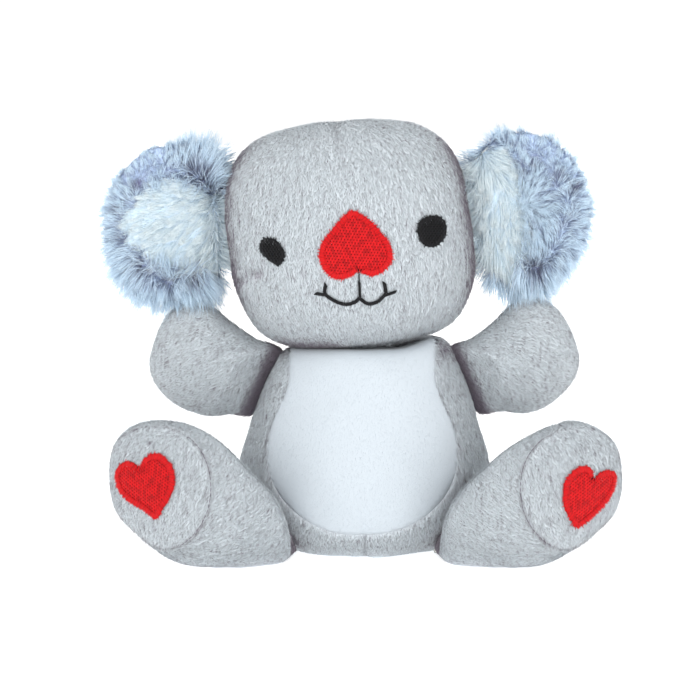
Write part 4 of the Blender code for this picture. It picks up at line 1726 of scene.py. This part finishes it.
@dataclass
class Arm(Stuffed):
    """Pillow of an arm, pinched at the shoulder."""

    side: Side = Side.LEFT
    seat: Seat | None = None
    cells: int = 28
    length: float = 0.0405
    width: float = 0.037
    thickness: float = 0.026
    pinch_length: float = 0.012
    pinch_share: float = 0.45
    tuck_in: float = 0.0020
    raised_deg: float = 3.0
    middle: tuple[float, float] = (0.52, -0.05)
    edge: Plan = (
        (1.00, -0.03), (0.98, 0.22), (0.87, 0.39), (0.70, 0.44), (0.45, 0.37), (0.20, 0.32), (0.00, 0.33),
        (0.00, 0.00), (0.00, -0.33), (0.15, -0.42), (0.35, -0.53), (0.57, -0.55), (0.80, -0.46),
        (0.95, -0.29),
    )

    def __post_init__(self) -> None:
        """Place the arm on its seat and name its panels."""
        self.body = f"arm_{self.side.word}"
        self.filling = self.body + "_stuffing"
        raised = Matrix.Rotation(math.radians(self.raised_deg if self.side is Side.RIGHT else 0.0), 2)
        self.curve = [raised @ Vector((x * self.length, y * self.width)) for x, y in self.edge]
        self.centre = Vector((self.middle[0] * self.length, self.middle[1] * self.width))
        self.panels = (
            Panel(self.body + "_front", (self.body + "_front_panel",), GREY_CLOTH, GREY_HAIR, SHORT),
            Panel(self.body + "_back", (self.body + "_back_panel",), GREY_CLOTH, GREY_HAIR, BACK_SHORT),
        )

    def rule(self, cube: Vector) -> Vector:
        """Carry a point of the cube to the arm.

        Args:
            cube: The place on the cube.

        Returns:
            The point of the form.
        """
        unit = unit_of(cube)
        edge = closed_curve(self.curve, math.atan2(unit.z, unit.x) / math.tau)
        place = self.centre + (edge - self.centre) * math.hypot(unit.x, unit.z)
        out = max(place.x, 0.0)
        swell = mix(self.pinch_share, 1.0, min(1.0, out / self.pinch_length))
        out -= self.tuck_in * (1 - ease(out, 0.0, 0.006))
        flat = self.seat.point + self.seat.out * out + self.seat.along * place.y
        return GROUND + flat - AHEAD * (self.thickness / 2 * unit.y * swell)

    def panel_at(self, cube: Vector, point: Vector) -> int:
        """Say which panel a place belongs to."""
        return 0 if cube.y < 0 else 1

    def out_of(self, point: Vector) -> float:
        """Measure how far a place is from the shoulder seam."""
        return (point - GROUND - self.seat.point).dot(self.seat.out)

    def lay_at(self, point: Vector) -> Vector:
        """Let the hair lie down the arm toward the paw."""
        return self.seat.out * 0.8 - UP * 0.7

    def cover_at(self, point: Vector, normal: Vector) -> float:
        """Leave out the seam on the torso."""
        return ease(self.out_of(point), -0.0012, -0.0004)

    def shade_at(self, point: Vector) -> float:
        """Paint shade toward the shoulder."""
        # Painted shade toward the shoulder seam.
        return 1.0 - ease(self.out_of(point), -0.0010, 0.0060)

    def tie(self, thing: bpy.types.Object) -> None:
        """Let the arm bend beside the torso."""
        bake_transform(thing, "torso", self.body, start=self.seat.ahead(0.0), end=self.seat.ahead(0.009))


# ---- legs ----


@dataclass
class Leg(Stuffed):
    """Leg that swells from a pinched hip seam to a round sole."""

    side: Side = Side.LEFT
    seat: Seat | None = None
    cells: int = 34
    height: float = 0.049
    width: float = 0.046
    stations: tuple[Triple, ...] = (
        (0.00, 0.58, 0.07), (0.16, 0.63, 0.47), (0.36, 0.71, 0.80),
        (0.60, 0.87, 0.98), (0.80, 1.00, 1.02), (1.00, 0.85, 0.85),
    )
    hip_handle: float = 0.016
    sole_handle: float = 0.020
    sole_middle: Triple = (0.0676, -0.0490, 0.0290)
    sole_yaw_deg: float = 27.0
    sole_pitch_deg: float = 8.0
    sole_bulge: float = 0.0048
    sole_from: float = 0.99
    sole_stitches: int = 24
    stitch_half_deg: float = 2.1
    stitched_deg: float = 58.0
    stitched_at: float = 0.487
    settled: dict[Side, Triple] = field(
        default_factory=lambda: {Side.LEFT: (0.17, 0.165, 0.055), Side.RIGHT: (0.15, 0.165, 0.125)}
    )
    tuck_in: float = 0.0020
    seam_depth: float = 0.0004
    seam_width: float = 0.0014
    caught: float = 0.6
    bare: tuple[tuple[Outline, float], ...] = ()

    def __post_init__(self) -> None:
        """Place the leg on its seat, find its sole and name its panels."""
        word = self.side.word
        self.body = f"leg_{word}"
        self.filling = self.body + "_stuffing"
        yaw, pitch = math.radians(self.sole_yaw_deg), math.radians(self.sole_pitch_deg)
        level = Vector((math.sin(yaw), -math.cos(yaw), 0.0))
        self.sole_out = (level * math.cos(pitch) + UP * math.sin(pitch)).normalized()
        self.sole_across = UP.cross(self.sole_out).normalized()
        self.sole_up = self.sole_out.cross(self.sole_across)
        self.panels = (
            Panel(self.body + "_inner", (self.body + "_inner_panel",), GREY_CLOTH, GREY_HAIR, SHORT),
            Panel(self.body + "_outer", (self.body + "_outer_panel",), GREY_CLOTH, GREY_HAIR, SHORT),
            Panel(f"sole_{word}", (f"foot_{word}_sole",), GREY_CLOTH, GREY_HAIR, SHORT),
        )

    def station(self, share: float) -> Vector:
        """Give the height and width shares at this share of the leg's length.

        Args:
            share: How far along it is, from 0 to 1.

        Returns:
            The shares of the full height and of the full width.
        """
        rows = [Vector(row) for row in self.stations]
        index = max(i for i in range(len(rows) - 1) if rows[i].x <= share)
        near = [rows[0], *rows, rows[-1]][index : index + 4]
        return curve_between(near, (share - rows[index].x) / (rows[index + 1].x - rows[index].x)).yz

    def spine(self, share: float) -> Vector:
        """Follow the middle of the leg from the hip to the sole.

        Args:
            share: How far along it is, from 0 to 1.

        Returns:
            The point of the middle line.
        """
        middle = Vector(self.sole_middle)
        handles = (
            self.seat.point,
            self.seat.point + self.seat.out * self.hip_handle,
            middle - self.sole_out * self.sole_handle,
            middle,
        )
        rest = 1 - share
        weights = (rest**3, 3 * rest**2 * share, 3 * rest * share**2, share**3)
        return sum((point * weight for point, weight in zip(handles, weights)), Vector())

    def rule(self, cube: Vector) -> Vector:
        """Carry a point of the cube to the leg.

        Args:
            cube: The place on the cube.

        Returns:
            The point of the form.
        """
        share = (cube.x + 1) / 2
        out = mix(self.seat.out, self.sole_out, share).normalized()
        rise = mix(self.seat.along, self.sole_up, share)
        rise = (rise - out * rise.dot(out)).normalized()
        height, width = self.station(min(share, 1 - PROBE))
        reach = max(abs(cube.y), abs(cube.z))
        unit = unit_of(Vector((0.0, cube.y, cube.z))) * reach if reach else Vector()
        unit *= self.fullness(share, unit)
        bulge = self.sole_bulge * (1 - reach * reach) if cube.x > self.sole_from else 0.0
        point = self.spine(share) + rise.cross(out) * (unit.y * width * self.width / 2)
        point += rise * (unit.z * height * self.height / 2) + out * bulge
        point -= self.seat.out * (self.tuck_in * (1 - ease(share, 0.0, 0.12)))
        point.z = max(point.z, 0.0)
        return GROUND + mirrored(point, self.side)

    def fullness(self, share: float, unit: Vector) -> float:
        """Say how far the filling has settled here, against the plain leg.

        Args:
            share: How far along the leg, from the hip.
            unit: The way from its middle line, with outer as Y and upper as Z.

        Returns:
            The factor on the leg's reach.
        """
        turn = math.degrees(math.atan2(unit.z, unit.y))
        upper, lower, inner = self.settled[self.side]
        sole = ease(share, 0.4, 0.9) * (upper * bell(turn - 38, 28) - lower * bell(turn + 55, 38))
        return 1.0 + sole - inner * bell(share - 0.75, 0.25) * bell(turn - 117, 31)

    def panel_at(self, cube: Vector, point: Vector) -> int:
        """Say which panel a place belongs to.

        Args:
            cube: The place on the cube.
            point: The place; not used.

        Returns:
            Its place in the list of panels.
        """
        if cube.x > self.sole_from:
            return 2
        return 0 if cube.y < 0 else 1

    def on_sole(self, point: Vector) -> Vector:
        """Measure a place from the middle of the sole: across, up, out."""
        away = mirrored(point - GROUND, self.side) - Vector(self.sole_middle)
        return Vector((away.dot(self.sole_across), away.dot(self.sole_up), away.dot(self.sole_out)))

    def along(self, point: Vector) -> float:
        """Measure how far a place is from the hip seam."""
        return (point - GROUND - mirrored(self.seat.point, self.side)).dot(mirrored(self.seat.out, self.side))

    def lay_at(self, point: Vector) -> Vector:
        """Let the hair lie toward the sole, and down on the sole itself.

        Args:
            point: The place.

        Returns:
            The direction, of any length.
        """
        place = self.on_sole(point)
        if place.z > -0.0015:
            return mirrored(self.sole_across * 0.35 - self.sole_up, self.side)
        return mirrored(self.sole_out, self.side) * 0.9 - UP * 0.6

    def cover_at(self, point: Vector, normal: Vector) -> float:
        """Leave out the hip seam, the ground and what is worked in thread.

        Args:
            point: The place.
            normal: The way the skin faces there; not used.

        Returns:
            The share, 0 for bare cloth.
        """
        place = self.on_sole(point)
        if place.z > -0.004:
            for outline, margin in self.bare:
                if outline.inside((place.x, place.y), margin):
                    return 0.0
        return ease(point.z, 0.0004, 0.0015) * ease(self.along(point), -0.0012, -0.0004)

    def long_at(self, point: Vector) -> float:
        """Keep the hair short at the ground."""
        return 0.45 + 0.55 * ease(point.z, 0.001, 0.006)

    def shade_at(self, point: Vector) -> float:
        """Paint shade toward the hip and at the ground."""
        # Painted shade toward the hip seam, and a little painted shadow at the ground.
        return max(1.0 - ease(self.along(point), -0.0005, 0.0050), bell(point.z, 0.003) * 0.2)

    def sew_sole(self) -> None:
        """Show the stitches of the sole's seam, on the side that faces the torso, in dark thread that paints
        the shade of the crease along it.
        """
        work = Needlework(self.surface, thread=0.00028)
        height, width = self.station(1 - PROBE)
        for index in range(self.sole_stitches):
            middle = 180 + (index / (self.sole_stitches - 1) * 2 - 1) * self.stitched_deg
            ends = []
            for turn in (middle - self.stitch_half_deg, middle + self.stitch_half_deg):
                unit = Vector((0.0, math.cos(math.radians(turn)), math.sin(math.radians(turn))))
                reach = self.stitched_at * self.fullness(1.0, unit)
                ends.append(Vector((unit.y * width * self.width, unit.z * height * self.height)) * reach)
            work.stitch(ends[0], ends[1], 0.0009)
        dress(work.finished(f"sole_{self.side.word}_seam"), SEAM_SHADE_THREAD, self.body)

    def tie(self, thing: bpy.types.Object) -> None:
        """Let the leg bend beside the torso."""
        seat = self.seat.on(self.side)
        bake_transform(thing, "torso", self.body, start=seat.ahead(0.0), end=seat.ahead(0.009))

    def surface(self, across: float, up: float, lift: float) -> Vector:
        """Give the place on the sewn sole, this far from its middle and off it.

        Args:
            across: How far to the right of the middle.
            up: How far above the middle.
            lift: How far off the cloth.

        Returns:
            The place on the sole.
        """
        place = Vector(self.sole_middle) + self.sole_across * across + self.sole_up * up
        start = GROUND + mirrored(place + self.sole_out * self.width / 2, self.side)
        hit, normal, _, _ = self.tree.ray_cast(start, -mirrored(self.sole_out, self.side))
        return hit + normal * lift


# ---- embroidery ----


@dataclass(frozen=True)
class Outline:
    """Closed line on a flat plan, all of it in sight from its middle."""

    plan: Plan
    turns: int = 144

    @functools.cache
    def points(self) -> list[Vector]:
        """List places along the line, evenly by turn of its plan."""
        corners = [Vector(corner) * MM for corner in self.plan]
        return [closed_curve(corners, index / self.turns) for index in range(self.turns)]

    @functools.cache
    def middle(self) -> Vector:
        """Give the middle of the line."""
        points = self.points()
        return sum(points, Vector((0.0, 0.0))) / len(points)

    @functools.cache
    def reaches(self) -> list[tuple[float, float]]:
        """List the turn and the distance from the middle of each place, by turn.

        Returns:
            The turns, each with its distance.
        """
        middle = self.middle()
        away = [point - middle for point in self.points()]
        return sorted((math.atan2(item.y, item.x), item.length) for item in away)

    def reach(self, turn: float) -> float:
        """Give the distance from the middle to the line on this bearing.

        Args:
            turn: The bearing, in radians.

        Returns:
            The distance.
        """
        known = self.reaches()
        turn = math.atan2(math.sin(turn), math.cos(turn))
        for index, (angle, distance) in enumerate(known):
            if angle >= turn:
                before = known[index - 1]
                span = (angle - before[0]) % math.tau
                share = ((turn - before[0]) % math.tau) / span if span else 0.0
                return mix(before[1], distance, min(1.0, share))
        return known[0][1]

    def inside(self, place: Sequence[float], margin: float) -> bool:
        """Say whether a place lies inside the line by more than the margin.

        Args:
            place: The place on the flat plan.
            margin: How far inside the line still counts as out.

        Returns:
            True where it does.
        """
        away = Vector(place) - self.middle()
        if away.length > 0.03:
            return False
        return away.length < self.reach(math.atan2(away.y, away.x)) - margin


@dataclass
class Needlework:
    """Stitches sewn one by one on a surface."""

    surface: Callable[[float, float, float], Vector]
    thread: float = 0.00042
    pitch: float = 1.2
    gap_share: float = 0.455
    fill_breadth: float = 1.75
    border_slant: float = 0.22
    batch: int = 40
    bm: bmesh.types.BMesh = field(default_factory=bmesh.new)
    sewn: list[bpy.types.Mesh] = field(default_factory=list)
    count: int = 0

    def lay_by(self) -> None:
        """Put the stitches made so far aside, which keeps the next ones quick."""
        mesh = bpy.data.meshes.new("stitches")
        self.bm.to_mesh(mesh)
        self.bm.clear()
        self.sewn.append(mesh)

    def finished(self, name: str) -> bpy.types.Object:
        """Gather all the stitches in one object.

        Args:
            name: The name of the new object.

        Returns:
            The stitches as one object.
        """
        self.lay_by()
        for mesh in self.sewn:
            self.bm.from_mesh(mesh)
            bpy.data.meshes.remove(mesh)
        return object_from(self.bm, name)

    def stitch(self, start: Vector, end: Vector, lift: float, breadth: float = 1.0) -> None:
        """Sew one stitch.

        Args:
            start: Where the needle comes up, on the flat plan.
            end: Where it goes down.
            lift: How far the middle of the thread is off the cloth.
            breadth: The width of the thread against the usual one.
        """
        first = self.surface(start.x, start.y, lift)
        last = self.surface(end.x, end.y, lift)
        half = (start + end) / 2
        middle = self.surface(half.x, half.y, lift)
        along = last - first
        normal = (self.surface(half.x, half.y, lift + PROBE) - middle).normalized()
        across = normal.cross(along).normalized()
        wide, high = self.thread * breadth, self.thread * 0.9
        turn = Matrix((across * wide, normal * high, along * 1.06)).transposed().to_4x4()
        tone = self.bm.verts.layers.float.get("tone") or self.bm.verts.layers.float.new("tone")
        made = bmesh.ops.create_uvsphere(
            self.bm, u_segments=6, v_segments=5, radius=0.5, matrix=Matrix.Translation(middle) @ turn
        )
        self.count += 1
        for vert in made["verts"]:
            vert[tone] = self.count * 0.618 % 1.0
        if self.count % self.batch == 0:
            self.lay_by()

    def edge(self, outline: Outline, width: float, pitch: float, lift: float, ragged: float) -> None:
        """Sew a border of short stitches across the line.

        Args:
            outline: The line.
            width: How long the stitches are.
            pitch: How far apart they are.
            lift: How far off the cloth they are.
            ragged: How unevenly they end.
        """
        points = outline.points()
        middle = outline.middle()
        travelled = 0.0
        for index, point in enumerate(points):
            following = points[(index + 1) % len(points)]
            before = points[index - 1]
            span = (following - point).length
            while travelled < span:
                place = point.lerp(following, travelled / span)
                run = (following - before).normalized()
                inward = Vector((-run.y, run.x))
                if inward.dot(middle - place) < 0:
                    inward.negate()
                inward = (inward + run * self.border_slant).normalized()
                jitter = noise.noise(Vector((place.x, place.y, 0.0)) * 2900.0) * ragged
                self.stitch(place - inward * jitter, place + inward * width, lift)
                travelled += pitch
            travelled -= span

    def fill(self, outline: Outline, margin: float, length: float, turn_deg: float, lift: float) -> None:
        """Sew rows of stitches, laid like bricks, inside the line.

        Args:
            outline: The line.
            margin: How far inside it the rows end.
            length: How long a stitch is.
            turn_deg: Which way the rows run.
            lift: How far off the cloth they are.
        """
        run = Vector((math.cos(math.radians(turn_deg)), math.sin(math.radians(turn_deg))))
        side = Vector((-run.y, run.x))
        middle = outline.middle()
        for row in range(-40, 41):
            offset = (row % 2) / 2 * length
            for step in range(-12, 13):
                place = middle + side * (row * self.thread * self.pitch) + run * (step * length + offset)
                ends = [place - run * length * self.gap_share, place + run * length * self.gap_share]
                if all(outline.inside(end, margin) for end in ends):
                    self.stitch(ends[0], ends[1], lift, self.fill_breadth)

    def pad(self, outline: Outline, name: str, lift: float, shrink: float) -> bpy.types.Object:
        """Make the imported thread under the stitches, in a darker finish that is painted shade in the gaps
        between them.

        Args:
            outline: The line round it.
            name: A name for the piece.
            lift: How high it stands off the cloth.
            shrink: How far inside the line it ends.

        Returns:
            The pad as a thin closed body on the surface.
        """
        bm = bmesh.new()
        bmesh.ops.create_circle(bm, cap_ends=True, cap_tris=True, segments=72, radius=1.0)
        spokes = [edge for edge in bm.edges if not edge.is_boundary]
        bmesh.ops.subdivide_edges(bm, edges=spokes, cuts=6)
        middle = outline.middle()
        for vert in bm.verts:
            share = vert.co.length
            turn = math.atan2(vert.co.y, vert.co.x)
            away = share * (outline.reach(turn) - shrink)
            place = middle + Vector((math.cos(turn), math.sin(turn))) * away
            vert.co = self.surface(place.x, place.y, lift)
        bm.normal_update()
        thicken(bm, -lift * 0.4)
        return object_from(bm, name)


NOSE = Outline((
    (1.58, 9.61), (-2.36, 7.09), (-6.46, 3.22), (-9.5, -0.11), (-10.75, -3.66), (-10.47, -7.03),
    (-9.0, -10.2), (-6.58, -12.31), (-4.31, -12.93), (-1.6, -12.52), (0.48, -11.74), (1.82, -11.06),
    (3.13, -11.89), (5.67, -12.97), (8.37, -12.69), (11.21, -11.21), (13.15, -8.77), (13.74, -6.5),
    (13.16, -2.75), (10.65, 1.57), (7.46, 5.78), (4.44, 8.46),
))
EYES = {
    Side.LEFT: Outline((
        (-29.07, 2.62), (-26.92, 3.46), (-24.28, 2.75), (-22.22, 0.08), (-21.53, -2.66), (-22.51, -5.25),
        (-24.35, -6.46), (-26.89, -4.93), (-29.02, -2.76), (-30.07, -0.01),
    )),
    Side.RIGHT: Outline((
        (22.2, 0.03), (23.2, 2.9), (25.41, 4.41), (28.17, 4.68), (30.79, 3.6), (32.25, 1.18), (32.25, -1.85),
        (30.92, -4.32), (28.67, -5.97), (25.91, -6.21), (23.38, -4.49), (22.44, -2.34),
    )),
}
HEARTS = {
    Side.LEFT: Outline((
        (6.0, 7.2), (8.4, 8.2), (10.7, 8.6), (13.8, 7.4), (15.7, 5.0), (16.0, 2.7), (14.1, -1.2),
        (10.0, -4.6), (3.8, -7.2), (-1.6, -9.8), (-4.9, -6.0), (-7.2, -2.3), (-8.2, 2.0),
        (-7.2, 6.6), (-4.6, 9.7), (-1.4, 11.4), (1.7, 11.3), (4.2, 9.9),
    )),
    Side.RIGHT: Outline((
        (6.2, 3.5), (8.6, 5.0), (13.4, 5.4), (16.0, 4.0), (16.2, 2.0), (13.9, -2.5), (9.4, -6.9),
        (4.5, -10.5), (-0.3, -13.0), (-3.2, -10.4), (-5.8, -6.0), (-6.3, -2.0), (-5.7, 2.2),
        (-3.2, 5.0), (0.0, 7.0), (3.2, 7.1), (5.4, 5.9),
    )),
}
MOUTH = (
    (((1.82, -11.06), (1.60, -14.40)), 0.0005),
    (((1.60, -14.40), (1.43, -17.0), (1.27, -19.49)), 0.0009),
    ((
        (-9.44, -14.03), (-9.9, -17.1), (-6.66, -19.96), (-3.46, -21.21), (-0.64, -20.8), (1.27, -19.49),
    ), 0.0012),
    ((
        (1.23, -19.82), (3.68, -21.85), (6.72, -21.53), (9.16, -19.78), (9.83, -18.85), (9.72, -15.58),
    ), 0.0012),
    (((-12.92, -16.6), (-9.97, -17.4)), 0.0011),
    (((9.16, -19.78), (13.27, -18.96)), 0.0010),
)


@dataclass
class Embroidery:
    """The face and the hearts on the soles, worked in thread."""

    border: float = 0.0023
    pitch: float = 0.00036
    ragged: float = 0.0010
    stitch_length: float = 0.0019
    lift: float = 0.00055
    pad_drop: float = 0.0002
    pad_margin: float = 0.0004
    wound_pitch: float = 0.00055

    def nose(self, head: Head) -> None:
        """Work the red nose."""
        self.heart("nose", NOSE, head.surface, "head", "nose_embroidery", 80.0)

    def heart(
        self, name: str, outline: Outline, surface: Callable[[float, float, float], Vector], body: str,
        node: str, turn_deg: float,
    ) -> None:
        """Work a filled shape with a satin border.

        Args:
            name: What it is called.
            outline: The line round it.
            surface: The cloth that it is worked on.
            body: The body that it moves with.
            node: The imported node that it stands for.
            turn_deg: Which way its rows of stitches run.
        """
        work = Needlework(surface)
        # The dark pad paints the shade in the gaps between the stitches.
        dress(work.pad(outline, name + "_pad", self.lift - self.pad_drop, self.pad_margin), RED_GAP_SHADE_PAD, body)
        work.fill(outline, self.border * 0.35, self.stitch_length, turn_deg, self.lift)
        work.edge(outline, self.border, self.pitch, self.lift + 0.0002, self.ragged)
        dress(work.finished(name + "_stitches"), RED, body, (node,))

    def eye(self, head: Head, side: Side) -> None:
        """Work a black eye.

        Args:
            head: The head that it is worked on.
            side: Which side of the toy.
        """
        name = f"eye_{side.word}"
        outline = EYES[side]
        work = Needlework(head.surface)
        # The dark pad paints the shade in the gaps between the stitches.
        dress(work.pad(outline, name + "_pad", self.lift - self.pad_drop, self.pad_margin), BLACK_GAP_SHADE_PAD, "head")
        work.fill(outline, 0.0004, self.stitch_length * 0.8, 82.0, self.lift + 0.0001)
        work.edge(outline, self.border * 0.75, self.pitch, self.lift, self.ragged)
        dress(work.finished(name + "_stitches"), BLACK, "head", (f"{name}_embroidery",))

    def mouth(self, head: Head) -> None:
        """Work the line of the mouth, as thread wound over thread.

        Args:
            head: The head that it is worked on.
        """
        work = Needlework(head.surface, thread=0.0006)
        for line, rope in MOUTH:
            corners = [Vector(corner) * MM for corner in line]
            points = open_curve(corners, 8)
            travelled = 0.0
            for start, end in zip(points, points[1:]):
                span = (end - start).length
                run = (end - start).normalized()
                while travelled < span:
                    place = start.lerp(end, travelled / span)
                    slant = (run * 0.75 + Vector((-run.y, run.x)) * 0.65).normalized() * rope * 0.75
                    work.stitch(place - slant, place + slant, self.lift, 0.4 + rope * 600)
                    travelled += self.wound_pitch
                travelled -= span
        dress(work.finished("mouth_stitches"), BLACK, "head", ("mouth_embroidery",))


# ---- the studio ----


@dataclass
class Studio:
    """Pale floor, soft lights and the camera."""

    scale: float = 0.343e-3
    distance: float = 1.1
    elevation_deg: float = 5.0
    frame_side: int = 700
    neck_at: tuple[float, float] = (365.0, 555.0)
    floor_glow: float = 0.6
    room_light: float = 0.98
    seen_light: float = 1.1
    lamp_size: float = 0.9
    lamp_power: float = 6.7
    lamp_aim: Triple = (0.0, 0.0, 0.07)

    def camera(self) -> None:
        """Set the camera up in front of the toy and a little above it."""
        half = self.frame_side / 2
        tilt = math.radians(self.elevation_deg)
        right = (half - self.neck_at[0]) * self.scale
        up = (self.neck_at[1] - half) * self.scale / math.cos(tilt)
        target = Vector((NECK.x + right, NECK.y, up))
        data = bpy.data.cameras.new("camera")
        data.angle = 2 * math.atan(half * self.scale / self.distance)
        data.clip_start = 0.05
        camera = bpy.data.objects.new("camera", data)
        camera.location = target + Vector((0.0, -math.cos(tilt), math.sin(tilt))) * self.distance
        camera.rotation_euler = (math.pi / 2 - tilt, 0.0, 0.0)
        bpy.context.scene.collection.objects.link(camera)
        bpy.context.scene.camera = camera

    def floor(self) -> None:
        """Lay the pale floor."""
        bm = bmesh.new()
        bmesh.ops.create_grid(bm, x_segments=1, y_segments=1, size=6.0)
        floor = object_from(bm, "floor")
        paint = Painter("floor_paper")
        paint.shader.inputs["Emission Color"].default_value = (1.0, 1.0, 1.0, 1.0)
        floor.data.materials.append(
            paint.finish(linear((0.985, 0.985, 0.985)), Roughness=0.9, Emission_Strength=self.floor_glow)
        )

    def lamp(self, name: str, place: Triple) -> None:
        """Hang a square soft light that faces the toy.

        Args:
            name: What it is called.
            place: Where it hangs.
        """
        data = bpy.data.lights.new(name, "AREA")
        data.size, data.energy = self.lamp_size, self.lamp_power
        lamp = bpy.data.objects.new(name, data)
        lamp.location = place
        aim = Vector(self.lamp_aim) - Vector(place)
        lamp.rotation_euler = aim.to_track_quat("-Z", "Y").to_euler()
        bpy.context.scene.collection.objects.link(lamp)

    def build(self) -> None:
        """Set everything up."""
        self.camera()
        self.floor()
        self.lamp("key", (-0.95, -0.80, 0.60))
        self.lamp("fill", (0.95, -0.80, 0.40))
        self.backdrop()
        bpy.context.scene.view_settings.view_transform = "Standard"

    def backdrop(self) -> None:
        """Surround the toy with soft white, brighter where the camera sees it."""
        world = bpy.data.worlds.new("studio")
        world.use_nodes = True
        tree = world.node_tree
        seen = add_node(tree, "ShaderNodeLightPath").outputs["Is Camera Ray"]
        given = {"Value": seen, "To Min": self.room_light, "To Max": self.seen_light}
        strength = add_node(tree, "ShaderNodeMapRange", given).outputs["Result"]
        tree.nodes["Background"].inputs["Color"].default_value = (1.0, 1.0, 1.0, 1.0)
        tree.links.new(strength, tree.nodes["Background"].inputs["Strength"])
        bpy.context.scene.world = world


def corners(box: tuple[Vector, Vector]) -> list[list[float]]:
    """Turn a box into plain lists."""
    return [list(corner) for corner in box]


def main() -> None:
    """Build the toy, piece by piece, in its studio."""
    logging.basicConfig(level=logging.INFO, format="%(name)s: %(message)s")
    Studio().build()
    torso = Torso()
    torso.build(10)
    head = Head(bare=((NOSE, 0.0006), *((EYES[side], 0.0005) for side in Side)))
    head.build(20)
    work = Embroidery()
    work.nose(head)
    work.mouth(head)
    for side in Side:
        work.eye(head, side)
        shift = 100 if side is Side.LEFT else 200
        Ear(body="", filling="", side=side, seat=head.ear_seat(side)).build(shift)
        Arm(body="", filling="", side=side, seat=torso.arm_seat().on(side)).build(shift + 10)
        leg = Leg(body="", filling="", side=side, seat=torso.leg_seat(), bare=((HEARTS[side], 0.0006),))
        leg.build(shift + 20)
        leg.sew_sole()
        name = f"heart_{side.word}"
        node = f"foot_{side.word}_heart_embroidery"
        work.heart(name, HEARTS[side], leg.surface, leg.body, node, 60.0)


if __name__ == "__main__":
    main()
